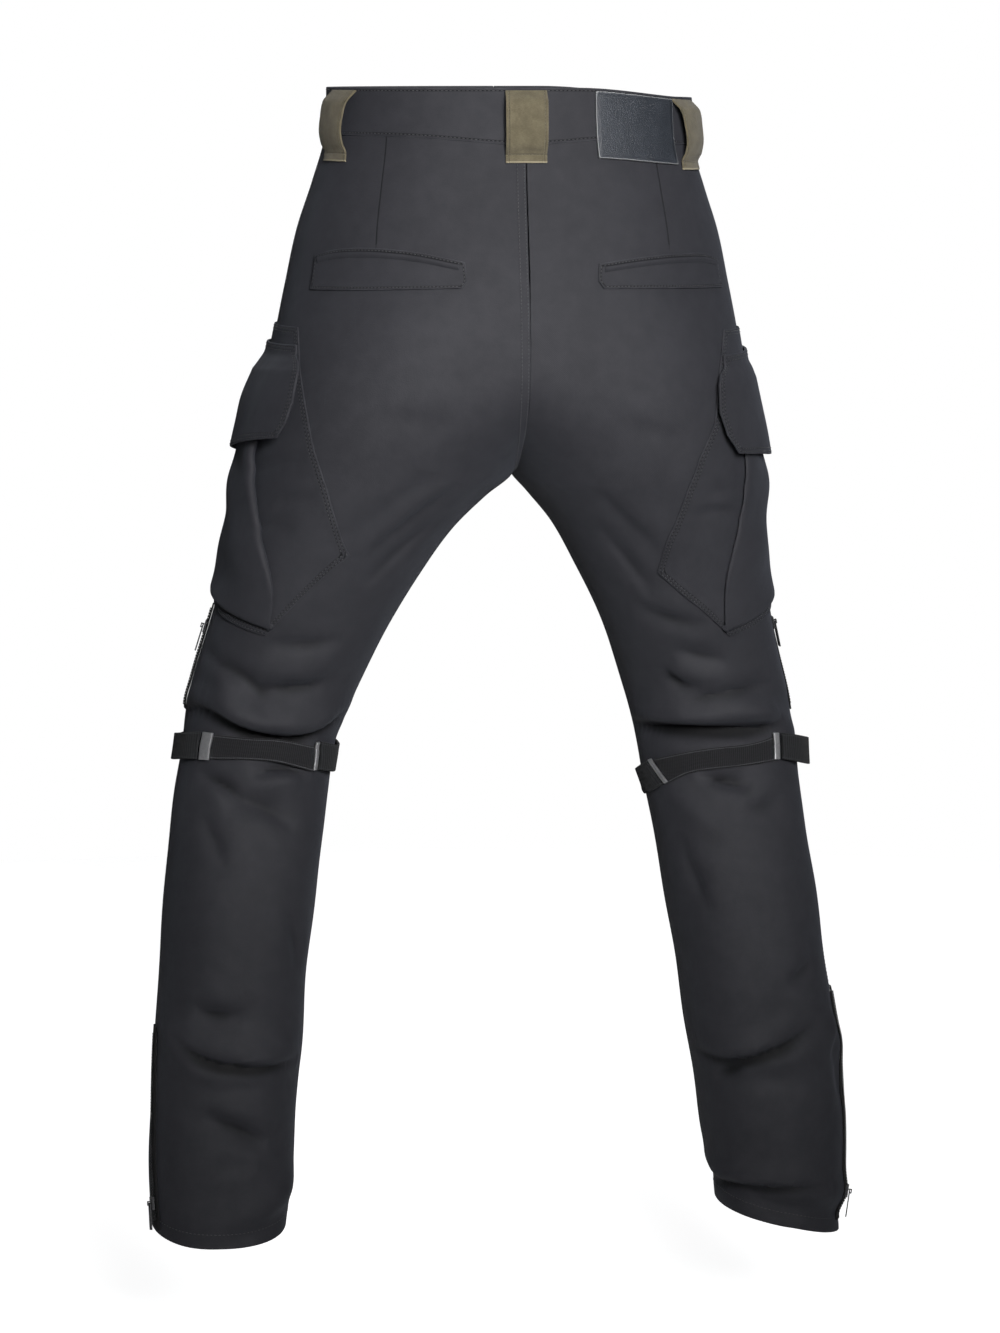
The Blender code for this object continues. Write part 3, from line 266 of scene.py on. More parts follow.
LEFT_CREASES = (
    Crease((Spot(167, -0.530), Spot(236, -0.519), Spot(277, -0.540), Spot(309, -0.531), Spot(347, -0.531)),
           0.0062, -0.0110, 0.5),
    Crease((Spot(186, -0.465), Spot(239, -0.481), Spot(266, -0.516)), 0.0060, -0.0050, -0.3),
    Crease((Spot(254, -0.486), Spot(276, -0.492), Spot(299, -0.489)), 0.0065, -0.0052, 0.3),
    Crease((Spot(249, -0.453), Spot(271, -0.453), Spot(293, -0.448)), 0.0070, -0.0038, 0.2),
    Crease((Spot(264, -0.569), Spot(285, -0.564), Spot(308, -0.575)), 0.0055, -0.0058, -0.4),
    Crease((Spot(216, -0.570), Spot(244, -0.576), Spot(260, -0.590)), 0.0055, -0.0050, -0.3),
    Crease((Spot(256, -0.586), Spot(276, -0.596), Spot(300, -0.617)), 0.0065, -0.0034, -0.3),
    Crease((Spot(226, -0.604), Spot(243, -0.622), Spot(252, -0.650)), 0.0080, -0.0027, 0.2),
    Crease((Spot(237, -0.766), Spot(256, -0.770), Spot(274, -0.771)), 0.0065, -0.0046, 0.3),
    Crease((Spot(217, -0.789), Spot(259, -0.812), Spot(297, -0.817), Spot(335, -0.816)),
           0.0065, -0.0078, 0.5),
    Crease((Spot(253, -0.856), Spot(279, -0.870), Spot(305, -0.884)), 0.0065, -0.0056, 0.3),
    Crease((Spot(262, -0.902), Spot(278, -0.898), Spot(293, -0.901)), 0.0060, -0.0027, -0.2),
    Crease((Spot(300, -0.690), Spot(316, -0.712), Spot(322, -0.742)), 0.0080, -0.0030, 0.2),
    Crease((Spot(191, -0.309), Spot(215, -0.295), Spot(232, -0.290)), 0.0055, -0.0024, 0.3),
    Crease((Spot(221, -0.334), Spot(232, -0.326), Spot(245, -0.324)), 0.0055, -0.0027, 0.3),
    Crease((Spot(212, -0.356), Spot(226, -0.351), Spot(240, -0.353)), 0.0050, -0.0018, -0.3),
    Crease((Spot(280, -0.300), Spot(275, -0.332), Spot(266, -0.366)), 0.0120, -0.0024, 0.2),
    Crease((Spot(280, -0.268), Spot(266, -0.257), Spot(252, -0.256)), 0.0100, -0.0016, 0.2),
    Crease((Spot(299, -0.312), Spot(290, -0.344), Spot(279, -0.380)), 0.0090, -0.0033, 0.4),
    Crease((Spot(310, -0.345), Spot(298, -0.372), Spot(288, -0.404)), 0.0080, -0.0027, -0.3),
    Crease((Spot(24, -0.338), Spot(48, -0.325), Spot(76, -0.300)), 0.0090, -0.0048, 0.3),
    Crease((Spot(22, -0.372), Spot(50, -0.366), Spot(84, -0.348)), 0.0090, -0.0039, -0.3),
    Crease((Spot(46, -0.488), Spot(84, -0.478), Spot(128, -0.486)), 0.0090, -0.0039, 0.3),
    Crease((Spot(50, -0.556), Spot(82, -0.574), Spot(118, -0.580)), 0.0080, -0.0042, 0.4),
    Crease((Spot(70, -0.646), Spot(98, -0.634), Spot(128, -0.622)), 0.0080, -0.0033, 0.2),
    Crease((Spot(38, -0.802), Spot(78, -0.822), Spot(124, -0.816)), 0.0080, -0.0048, 0.4),
    Crease((Spot(58, -0.880), Spot(96, -0.884), Spot(138, -0.870)), 0.0075, -0.0042, 0.3),
    Crease((Spot(50, -0.928), Spot(76, -0.936), Spot(104, -0.932)), 0.0065, -0.0033, -0.3),
)
RIGHT_CREASES = (
    Crease((Spot(308, -0.424), Spot(288, -0.434), Spot(264, -0.443)), 0.0075, -0.0039, 0.3),
    Crease((Spot(290, -0.463), Spot(275, -0.472), Spot(260, -0.473)), 0.0070, -0.0040, -0.2),
    Crease((Spot(304, -0.481), Spot(294, -0.497), Spot(273, -0.498)), 0.0065, -0.0052, 0.3),
    Crease((Spot(297, -0.519), Spot(276, -0.507), Spot(254, -0.502), Spot(223, -0.497)),
           0.0060, -0.0050, 0.4),
    Crease((Spot(361, -0.540), Spot(321, -0.539), Spot(283, -0.540), Spot(250, -0.539), Spot(220, -0.532)),
           0.0058, -0.0105, 0.5),
    Crease((Spot(295, -0.577), Spot(276, -0.582), Spot(258, -0.587)), 0.0058, -0.0050, -0.3),
    Crease((Spot(266, -0.607), Spot(250, -0.604), Spot(232, -0.599)), 0.0065, -0.0030, 0.2),
    Crease((Spot(318, -0.630), Spot(312, -0.668), Spot(300, -0.700)), 0.0080, -0.0030, 0.2),
    Crease((Spot(341, -0.829), Spot(312, -0.829), Spot(282, -0.823), Spot(236, -0.796)),
           0.0065, -0.0088, 0.5),
    Crease((Spot(226, -0.744), Spot(240, -0.750), Spot(256, -0.760)), 0.0070, -0.0036, 0.3),
    Crease((Spot(296, -0.834), Spot(310, -0.840), Spot(326, -0.846)), 0.0055, -0.0042, 0.4),
    Crease((Spot(200, -0.770), Spot(206, -0.806), Spot(218, -0.836)), 0.0070, -0.0033, 0.3),
    Crease((Spot(359, -0.964), Spot(319, -0.951), Spot(279, -0.943), Spot(226, -0.933)),
           0.0055, -0.0068, 0.5),
    Crease((Spot(258, -0.345), Spot(246, -0.338), Spot(229, -0.344)), 0.0055, -0.0033, 0.3),
    Crease((Spot(254, -0.331), Spot(240, -0.322), Spot(222, -0.320)), 0.0050, -0.0019, -0.3),
    Crease((Spot(298, -0.316), Spot(288, -0.350), Spot(278, -0.384)), 0.0090, -0.0030, 0.4),
    Crease((Spot(312, -0.352), Spot(300, -0.386), Spot(292, -0.420)), 0.0080, -0.0030, -0.3),
    Crease((Spot(276, -0.262), Spot(262, -0.270), Spot(250, -0.286)), 0.0100, -0.0015, 0.2),
    Crease((Spot(26, -0.342), Spot(50, -0.322), Spot(80, -0.304)), 0.0090, -0.0045, 0.3),
    Crease((Spot(20, -0.384), Spot(54, -0.372), Spot(88, -0.358)), 0.0090, -0.0036, -0.3),
    Crease((Spot(44, -0.496), Spot(88, -0.484), Spot(124, -0.492)), 0.0090, -0.0036, 0.3),
    Crease((Spot(54, -0.566), Spot(88, -0.580), Spot(122, -0.592)), 0.0080, -0.0042, 0.4),
    Crease((Spot(64, -0.668), Spot(92, -0.654), Spot(120, -0.640)), 0.0080, -0.0033, 0.2),
    Crease((Spot(40, -0.812), Spot(82, -0.830), Spot(126, -0.820)), 0.0080, -0.0048, 0.4),
    Crease((Spot(60, -0.892), Spot(98, -0.896), Spot(136, -0.884)), 0.0075, -0.0039, 0.3),
    Crease((Spot(52, -0.948), Spot(84, -0.956), Spot(110, -0.950)), 0.0065, -0.0033, -0.3),
)
LEFT_HEM = Hem(-0.961, 0.012, 0.000)
RIGHT_HEM = Hem(-0.978, 0.000, 0.014)

# Broad uneven swells of the cloth: waves round the leg, waves along it, start, height
SWELLS = (
    (3.0, 17.0, 0.4, 0.00050),
    (5.0, -11.0, 1.9, 0.00040),
    (2.0, 31.0, 4.2, 0.00035),
    (7.0, 23.0, 2.7, 0.00022),
)


def smoothstep(value: np.ndarray) -> np.ndarray:
    """Eases a value from 0 to 1."""
    value = np.clip(value, 0.0, 1.0)
    return value * value * (3.0 - 2.0 * value)


def signed_power(value: np.ndarray, power: float) -> np.ndarray:
    """Raises the size of a value to a power and keeps its sign."""
    return np.sign(value) * np.abs(value) ** power


def unit(vectors: np.ndarray) -> np.ndarray:
    """Scales vectors to length 1."""
    return vectors / np.maximum(np.linalg.norm(vectors, axis=-1, keepdims=True), 1e-12)


def cubic_between(table: np.ndarray, at: np.ndarray) -> np.ndarray:
    """Reads a table on a smooth cubic through its rows.

    Args:
        table: Rows of numbers, the first of them falling from row to row.
        at: Where to read, on the scale of the first column.

    Returns:
        One row of the table's columns for each place.
    """
    last = len(table) - 1
    k = np.searchsorted(-table[1:last, 0], -at, side="right")
    before, start, end, after = (table[np.clip(k + step, 0, last)] for step in (-1, 0, 1, 2))
    span = end[..., :1] - start[..., :1]
    t = (at[..., None] - start[..., :1]) / span
    slope_start = (end - before) / (end[..., :1] - before[..., :1]) * span
    slope_end = (after - start) / (after[..., :1] - start[..., :1]) * span
    return (
        (2 * t**3 - 3 * t**2 + 1) * start
        + (t**3 - 2 * t**2 + t) * slope_start
        + (3 * t**2 - 2 * t**3) * end
        + (t**3 - t**2) * slope_end
    )


@dataclass
class LegForm:
    """The outer surface of one leg with its half of the seat."""

    side: int
    name: str
    sections: tuple[Section, ...]
    folds: tuple[Fold, ...]
    creases: tuple[Crease, ...]
    hem: Hem
    droop: float = 0.0
    path_steps: int = 28
    fade_power: float = 0.8
    roll_at: float = 2.1
    roll_width: float = 1.4
    roll_share: float = 0.42
    reach: float = 0.035

    def __post_init__(self) -> None:
        """Turns the sections into one table of numbers."""
        self.table = np.array(self.sections)

    def fork(self, z: np.ndarray) -> np.ndarray:
        """How far the section is split in two: 1 at the fork and below it, 0 at the hips."""
        return np.clip(1.0 - (z - CROTCH_Z) / FORK_HEIGHT, 0.0, 1.0)

    def column_angle(self, column: np.ndarray, z: np.ndarray) -> np.ndarray:
        """The angle of a column of the solids' grid at a height."""
        start = np.where(z <= CROTCH_Z, 0.0, np.arccos(self.fork(z) ** (ROUNDNESS / 2.0)))
        seam = math.pi + SEAM_TURN * smoothstep((SEAM_TURN_TOP - z) / (SEAM_TURN_TOP - SEAM_TURN_BOTTOM))
        power = 1.0 + FORK_CROWDING * (1.0 - start / (math.pi / 2.0))
        share = column / FRONT_COLUMNS
        front = seam * share + start * np.maximum(1.0 - share, 0.0) ** power
        share = (COLUMNS - column) / BACK_COLUMNS
        turn = 2.0 * math.pi
        back = turn - (turn - seam) * share - start * np.maximum(1.0 - share, 0.0) ** power
        return np.where(column <= FRONT_COLUMNS, front, back)

    def smooth(self, angle: np.ndarray, z: np.ndarray) -> np.ndarray:
        """Points of the surface before any fold."""
        section = cubic_between(self.table, z)
        inner, outer, front, mid, back = (section[..., k] for k in range(1, 6))
        share = self.fork(z)
        above = z > CROTCH_Z
        radius = np.where(above, outer / (1.0 + share), (outer - inner) / 2.0)
        centre = np.where(above, radius * share, (outer + inner) / 2.0)
        cosine, sine = np.cos(angle), np.sin(angle)
        x = centre - radius * signed_power(cosine, 2.0 / ROUNDNESS)
        depth = np.abs(sine) ** (2.0 / ROUNDNESS)
        web = smoothstep((1.0 - share) / WEB_SHARE)
        depth = np.where(cosine > 0.0, depth + (1.0 - depth) * web, depth)
        y = mid + (np.where(sine > 0.0, front, back) - mid) * depth
        drop = smoothstep((self.hem.z + HEM_BLEND - z) / HEM_BLEND)
        fall = self.hem.back_drop * np.maximum(0.0, -sine) + self.hem.outer_drop * -cosine
        sink = self.droop * smoothstep(-cosine * 1.3 - 0.3) * smoothstep((z + 0.16) / 0.14)
        return np.stack([self.side * x, y, z - drop * fall - sink], axis=-1)

    def normal(self, angle: np.ndarray, z: np.ndarray) -> np.ndarray:
        """Outward directions of the smooth surface."""
        along = self.smooth(angle + TURN_STEP, z) - self.smooth(angle - TURN_STEP, z)
        up = self.smooth(angle, z + RISE_STEP) - self.smooth(angle, z - RISE_STEP)
        return self.side * unit(np.cross(along, up))

    def girth(self, z: np.ndarray) -> np.ndarray:
        """The mean radius at a height, which turns angles into metres."""
        section = cubic_between(self.table, z)
        return (section[..., 2] - section[..., 1] + section[..., 5] - section[..., 3]) / 4.0

    def around(self, angle: np.ndarray, middle: float, girth: np.ndarray) -> np.ndarray:
        """Metres round the leg from an angle in degrees."""
        turn = angle - math.radians(middle)
        return ((turn + math.pi) % (2.0 * math.pi) - math.pi) * girth

    def crease_height(self, crease: Crease, angle: np.ndarray, z: np.ndarray,
                      girth: np.ndarray) -> np.ndarray:
        """How far one crease moves the cloth.

        Args:
            crease: The crease.
            angle: Angles of the places, in radians.
            z: Heights of the places.
            girth: The leg's mean radius there.

        Returns:
            Metres out of the cloth, or into it where negative.
        """
        knots = np.linspace(0.0, 1.0, len(crease.path))
        steps = np.linspace(0.0, 1.0, self.path_steps)
        degree = len(crease.path) - 1
        origin = crease.path[0].angle
        turns = np.polyval(np.polyfit(knots, [s.angle - origin for s in crease.path], degree), steps)
        rises = np.polyval(np.polyfit(knots, [s.z for s in crease.path], degree), steps)
        near = (z > rises.min() - self.reach) & (z < rises.max() + self.reach)
        result = np.zeros_like(z)
        if not near.any():
            return result
        x = self.around(angle[near], origin, girth[near])
        y = z[near]
        path_x = np.radians(turns)[None, :] * girth[near][:, None]
        gap_x = x[:, None] - path_x
        gap_y = y[:, None] - rises[None, :]
        nearest = np.argmin(gap_x**2 + gap_y**2, axis=1)
        pick = np.arange(len(nearest))
        mean_girth = float(girth[near].mean())
        tangent = unit(np.stack([np.gradient(np.radians(turns)) * mean_girth, np.gradient(rises)], axis=-1))
        tangent *= np.sign(tangent[len(tangent) // 2, 0]) or 1.0
        across = -gap_x[pick, nearest] * tangent[nearest, 1] + gap_y[pick, nearest] * tangent[nearest, 0]
        fade = np.sin(math.pi * steps[nearest]) ** self.fade_power
        width = crease.width * (1.0 - crease.lean * np.sign(across))
        trough = np.exp(-((across / width) ** 2))
        bank = 1.0 if crease.lean > 0.0 else -1.0
        from_roll = across * bank - self.roll_at * crease.width
        roll = np.exp(-((from_roll / (self.roll_width * crease.width)) ** 2))
        result[near] = crease.height * fade * (trough - self.roll_share * roll)
        return result

    def relief(self, angle: np.ndarray, z: np.ndarray, fine: bool) -> np.ndarray:
        """The sum of folds, swells and creases.

        Args:
            angle: Angles in radians.
            z: Heights.
            fine: Whether the narrow creases count, as they don't under a taut strap.

        Returns:
            Metres out of the smooth surface.
        """
        angle, z = (a.copy() for a in np.broadcast_arrays(angle, z))
        girth = self.girth(z)
        total = np.zeros_like(z)
        for fold in self.folds:
            around = self.around(angle, fold.angle, girth)
            up = z - fold.z
            tilt = math.radians(fold.tilt)
            along = around * math.cos(tilt) + up * math.sin(tilt)
            across = up * math.cos(tilt) - around * math.sin(tilt)
            fade = np.maximum(0.0, 1.0 - (along / fold.length) ** 2)
            total += fold.height * fade**2 * np.exp(-((across / fold.width) ** 2))
        if fine:
            for crease in self.creases:
                total += self.crease_height(crease, angle, z, girth)
            slack = smoothstep((-0.03 - z) / 0.12)
            for waves, rises, start, height in SWELLS:
                total += height * slack * np.sin(waves * angle + start) * np.sin(rises * z * 2.0 + start)
        return total

    def surface(self, angle: np.ndarray, z: np.ndarray, lift: np.ndarray | float,
                fine: bool = True) -> np.ndarray:
        """Points over the cloth.

        Args:
            angle: Angles in radians.
            z: Heights.
            lift: Metres out from the panel's outer face.
            fine: Whether the narrow creases count.

        Returns:
            The points, each on its own side of the middle of the body.
        """
        angle, z = np.broadcast_arrays(np.asarray(angle, float), np.asarray(z, float))
        out = self.normal(angle, z) * (self.relief(angle, z, fine) + lift)[..., None]
        points = self.smooth(angle, z) + out
        clamped = self.side * np.maximum(self.side * points[..., 0], SEAM_GAP / 2.0)
        points[..., 0] = np.where(z > CROTCH_Z - FORK_EASE, clamped, points[..., 0])
        return points

    def angle_at_x(self, x: np.ndarray, z: np.ndarray, back: bool) -> np.ndarray:
        """The angle of the back or front that lies x from the middle, above the fork."""
        share = self.fork(z)
        radius = cubic_between(self.table, z)[..., 2] / (1.0 + share)
        cosine = signed_power((radius * share - x) / radius, ROUNDNESS / 2.0)
        angle = np.arccos(np.clip(cosine, -1.0, 1.0))
        return 2.0 * math.pi - angle if back else angle


def chain(spots: tuple[Spot, ...], count: int) -> tuple[np.ndarray, np.ndarray]:
    """Samples a chain of spots by its length, with a sample on each corner.

    Args:
        spots: The corners, in order.
        count: The number of samples.

    Returns:
        The shares of the length, and rows of angle and height.
    """
    corners = np.array(spots, dtype=float)
    metres = np.stack([np.radians(corners[:, 0]) * 0.1, corners[:, 1]], axis=-1)
    lengths = np.concatenate([[0.0], np.cumsum(np.linalg.norm(np.diff(metres, axis=0), axis=1))])
    knots = lengths / lengths[-1]
    shares = np.linspace(0.0, 1.0, count)
    for knot in knots[1:-1]:
        shares[np.argmin(np.abs(shares - knot))] = knot
    samples = np.stack([np.interp(shares, knots, corners[:, k]) for k in (0, 1)], axis=-1)
    return shares, samples


def smooth_chain(spots: tuple[Spot, ...], count: int) -> tuple[np.ndarray, np.ndarray]:
    """Samples a soft curve through a few spots."""
    corners = np.array(spots, dtype=float)
    knots = np.linspace(0.0, 1.0, len(corners))
    shares = np.linspace(0.0, 1.0, count)
    table = np.column_stack([-knots, corners])
    return shares, cubic_between(table, -shares)[:, 1:]


def four_sided(top: np.ndarray, bottom: np.ndarray, start: np.ndarray, end: np.ndarray,
               across: np.ndarray, down: np.ndarray) -> np.ndarray:
    """Fills four border curves with a grid.

    Args:
        top: Samples of the top border.
        bottom: Samples of the bottom border.
        start: Samples of the first side.
        end: Samples of the last side.
        across: Shares of the samples along top and bottom.
        down: Shares of the samples along the two sides.

    Returns:
        Rows and columns of angle and height.
    """
    u, v = across[None, :, None], down[:, None, None]
    ruled = (1 - v) * top[None] + v * bottom[None] + (1 - u) * start[:, None] + u * end[:, None]
    corners = (1 - u) * (1 - v) * top[0] + u * (1 - v) * top[-1]
    corners += (1 - u) * v * bottom[0] + u * v * bottom[-1]
    return ruled - corners


@dataclass
class Sheet:
    """A piece of cloth on a grid of points. Its wall grows inwards from its outer face."""

    name: str
    points: np.ndarray
    centre: np.ndarray
    thickness: float
    sewn: tuple[Border, ...] = ()
    rounding: float = 0.0
    marks: dict[str, np.ndarray] = field(default_factory=dict)

    def outward(self) -> np.ndarray:
        """Unit directions out of the cloth, one at each point of the grid."""
        down = np.gradient(self.points, axis=0)
        across = np.gradient(self.points, axis=1)
        out = unit(np.cross(across, down))
        away = self.points - self.centre
        return out if float((out * away).sum()) > 0.0 else -out

    def arcs(self, axis: int) -> np.ndarray:
        """Lengths along the cloth from the first row (axis 0) or the first column (axis 1)."""
        steps = np.linalg.norm(np.diff(self.points, axis=axis), axis=-1)
        start = np.zeros_like(np.take(steps, [0], axis=axis))
        return np.concatenate([start, np.cumsum(steps, axis=axis)], axis=axis)

    def distance(self, border: Border) -> np.ndarray:
        """How far each point lies from a border, along the cloth."""
        axis = 0 if border in (Border.TOP, Border.BOTTOM) else 1
        arcs = self.arcs(axis)
        if border in (Border.TOP, Border.START):
            return arcs
        return np.take(arcs, [-1], axis=axis) - arcs

    def trace(self, border: Border, offset: float, trims: tuple[float, float] = (0.0, 0.0)) -> np.ndarray:
        """A line on the outer face beside a border.

        Args:
            border: The border.
            offset: The line's distance from it.
            trims: Lengths left off at the line's two ends.

        Returns:
            Rows of point and outward direction, six numbers each.
        """
        values = np.concatenate([self.points, self.outward()], axis=-1)
        distance = self.distance(border)
        if border in (Border.TOP, Border.BOTTOM):
            values, distance = np.swapaxes(values, 0, 1), distance.T
        if border in (Border.BOTTOM, Border.END):
            values, distance = values[:, ::-1], distance[:, ::-1]
        line = np.array([
            [np.interp(offset, near, row[:, k]) for k in range(6)]
            for near, row in zip(distance, values)
        ])
        run = np.concatenate([[0.0], np.cumsum(np.linalg.norm(np.diff(line[:, :3], axis=0), axis=1))])
        inside = (run >= trims[0]) & (run <= run[-1] - trims[1])
        return line[inside]

    def build(self) -> bpy.types.Object:
        """Makes the mesh: a grid shaped to the points, with its wall and its rounded rim."""
        rows, columns = self.points.shape[:2]
        deselect()
        bpy.ops.mesh.primitive_grid_add(x_subdivisions=columns - 1, y_subdivisions=rows - 1, size=1.0)
        obj = bpy.context.active_object
        obj.name = self.name
        obj.data.name = self.name
        mesh = obj.data
        mesh.vertices.foreach_set("co", self.points.reshape(-1).astype(np.float32))
        across, down = self.arcs(1), self.arcs(0)
        across = across - across.mean(axis=1, keepdims=True)
        corners = np.zeros(len(mesh.loops), dtype=np.int32)
        mesh.loops.foreach_get("vertex_index", corners)
        places = np.stack([across.reshape(-1), down.reshape(-1)], axis=-1)[corners]
        mesh.uv_layers.active.data.foreach_set("uv", places.reshape(-1).astype(np.float32))
        edge = np.full((rows, columns), 1.0)
        for border in self.sewn:
            edge = np.minimum(edge, self.distance(border))
        for name, values in {"edge_distance": edge, **self.marks}.items():
            layer = mesh.attributes.new(name=name, type="FLOAT", domain="POINT")
            layer.data.foreach_set("value", values.reshape(-1).astype(np.float32))
        mesh.update()
        facing = np.zeros(3)
        first = mesh.polygons[len(mesh.polygons) // 2]
        facing[:] = first.normal
        row, column = divmod(first.vertices[0], columns)
        if float(facing @ self.outward()[row, column]) < 0.0:
            mesh.flip_normals()
        wall = obj.modifiers.new("wall", "SOLIDIFY")
        wall.thickness = self.thickness
        wall.offset = -1.0
        apply_modifier(obj, wall)
        if self.rounding > 0.0:
            rim = obj.modifiers.new("rim", "BEVEL")
            rim.width = self.rounding
            rim.segments = 2
            rim.limit_method = "ANGLE"
            rim.angle_limit = math.radians(50)
            apply_modifier(obj, rim)
        soften(obj, 44)
        return obj


def deselect() -> None:
    """Leaves nothing selected, so that an operator reaches only the new piece."""
    for obj in bpy.context.selected_objects:
        obj.select_set(False)
    bpy.context.view_layer.objects.active = None


def activate(obj: bpy.types.Object) -> None:
    """Makes one object the only one selected."""
    deselect()
    obj.select_set(True)
    bpy.context.view_layer.objects.active = obj


def apply_modifier(obj: bpy.types.Object, modifier: bpy.types.Modifier) -> None:
    """Applies a modifier to its object."""
    activate(obj)
    bpy.ops.object.modifier_apply(modifier=modifier.name)


def soften(obj: bpy.types.Object, degrees: float) -> None:
    """Shades an object smooth, apart from edges sharper than an angle."""
    activate(obj)
    bpy.ops.object.shade_smooth_by_angle(angle=math.radians(degrees))


def hand_over(obj: bpy.types.Object, material: bpy.types.Material,
              nodes: tuple[str, ...] = ()) -> None:
    """Dresses a finished piece and lets it ride on the trousers.

    Args:
        obj: The piece.
        material: Its finish.
        nodes: The solids that it stands for.
    """
    obj.data.materials.clear()
    obj.data.materials.append(material)
    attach(obj, BODY)
    if nodes:
        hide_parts(*nodes)
    LOG.info("%s: %d faces", obj.name, len(obj.data.polygons))


def lay_cloth(sheet: Sheet, material: bpy.types.Material,
              nodes: tuple[str, ...] = ()) -> bpy.types.Object:
    """Builds a sheet and dresses it."""
    obj = sheet.build()
    hand_over(obj, material, nodes)
    return obj


class Nodes:
    """A small kit for a material's nodes."""

    def __init__(self, name: str) -> None:
        """Starts a material with its shader."""
        self.material = bpy.data.materials.new(name)
        self.material.use_nodes = True
        self.tree = self.material.node_tree
        self.shader = self.tree.nodes["Principled BSDF"]
        self.place = self.tree.nodes.new("ShaderNodeTexCoord")

    def add(self, kind: str) -> bpy.types.Node:
        """Adds one node."""
        return self.tree.nodes.new(kind)

    def link(self, output: bpy.types.NodeSocket, target: bpy.types.NodeSocket) -> None:
        """Links two sockets."""
        self.tree.links.new(output, target)

    def feed(self, target: bpy.types.NodeSocket, value: bpy.types.NodeSocket | float) -> None:
        """Links a socket, or sets it to a number."""
        if isinstance(value, bpy.types.NodeSocket):
            self.link(value, target)
        else:
            target.default_value = value

    def math(self, operation: str, first: object, second: object = 0.0) -> bpy.types.NodeSocket:
        """One sum of two values."""
        node = self.add("ShaderNodeMath")
        node.operation = operation
        self.feed(node.inputs[0], first)
        self.feed(node.inputs[1], second)
        return node.outputs[0]

    def attribute(self, name: str) -> bpy.types.NodeSocket:
        """A value stored on the mesh."""
        node = self.add("ShaderNodeAttribute")
        node.attribute_name = name
        return node.outputs["Fac"]

    def stretched(self, source: str, scale: tuple[float, float, float]) -> bpy.types.NodeSocket:
        """Coordinates of the piece or its cloth, scaled on each axis."""
        node = self.add("ShaderNodeMapping")
        node.inputs["Scale"].default_value = scale
        self.link(self.place.outputs[source], node.inputs["Vector"])
        return node.outputs["Vector"]

    def noise(self, vector: bpy.types.NodeSocket, scale: float, detail: float = 3.0,
              roughness: float = 0.55) -> bpy.types.NodeSocket:
        """Soft noise from 0 to 1."""
        node = self.add("ShaderNodeTexNoise")
        self.link(vector, node.inputs["Vector"])
        node.inputs["Scale"].default_value = scale
        node.inputs["Detail"].default_value = detail
        node.inputs["Roughness"].default_value = roughness
        return node.outputs["Fac"]

    def wave(self, vector: bpy.types.NodeSocket, scale: float, direction: str) -> bpy.types.NodeSocket:
        """Even ribs from 0 to 1."""
        node = self.add("ShaderNodeTexWave")
        node.bands_direction = direction
        self.link(vector, node.inputs["Vector"])
        node.inputs["Scale"].default_value = scale
        node.inputs["Distortion"].default_value = 0.0
        return node.outputs["Fac"]

    def ease(self, value: bpy.types.NodeSocket, low: float, high: float, start: float = 0.0,
             end: float = 1.0) -> bpy.types.NodeSocket:
        """Eases a value from one number to another between two limits."""
        node = self.add("ShaderNodeMapRange")
        node.interpolation_type = "SMOOTHSTEP"
        self.link(value, node.inputs["Value"])
        node.inputs["From Min"].default_value = low
        node.inputs["From Max"].default_value = high
        node.inputs["To Min"].default_value = start
        node.inputs["To Max"].default_value = end
        return node.outputs["Result"]

    def groove(self, distance: bpy.types.NodeSocket, at: float, width: float) -> bpy.types.NodeSocket:
        """1 on a line at a distance from the edge, easing to 0 beside it."""
        gap = self.math("ABSOLUTE", self.math("SUBTRACT", distance, at))
        return self.ease(gap, 0.0, width, 1.0, 0.0)

    def colour(self, factor: bpy.types.NodeSocket, first: object, second: object) -> bpy.types.NodeSocket:
        """Mixes two colours."""
        node = self.add("ShaderNodeMix")
        node.data_type = "RGBA"
        self.link(factor, node.inputs["Factor"])
        for name, value in (("A", first), ("B", second)):
            socket = next(s for s in node.inputs if s.name == name and s.type == "RGBA")
            if isinstance(value, bpy.types.NodeSocket):
                self.link(value, socket)
            else:
                socket.default_value = (*value, 1.0)
        return next(s for s in node.outputs if s.type == "RGBA")

    def bump(self, layers: tuple[tuple[bpy.types.NodeSocket, float], ...]) -> None:
        """Stacks raised layers, each a height from 0 to 1 and its depth in metres."""
        normal = None
        for height, depth in layers:
            node = self.add("ShaderNodeBump")
            node.inputs["Strength"].default_value = 1.0
            node.inputs["Distance"].default_value = abs(depth)
            node.invert = depth < 0.0
            self.link(height, node.inputs["Height"])
            if normal is not None:
                self.link(normal, node.inputs["Normal"])
            normal = node.outputs["Normal"]
        self.link(normal, self.shader.inputs["Normal"])

    def set(self, name: str, value: object) -> None:
        """Sets one of the shader's own sockets."""
        self.shader.inputs[name].default_value = value


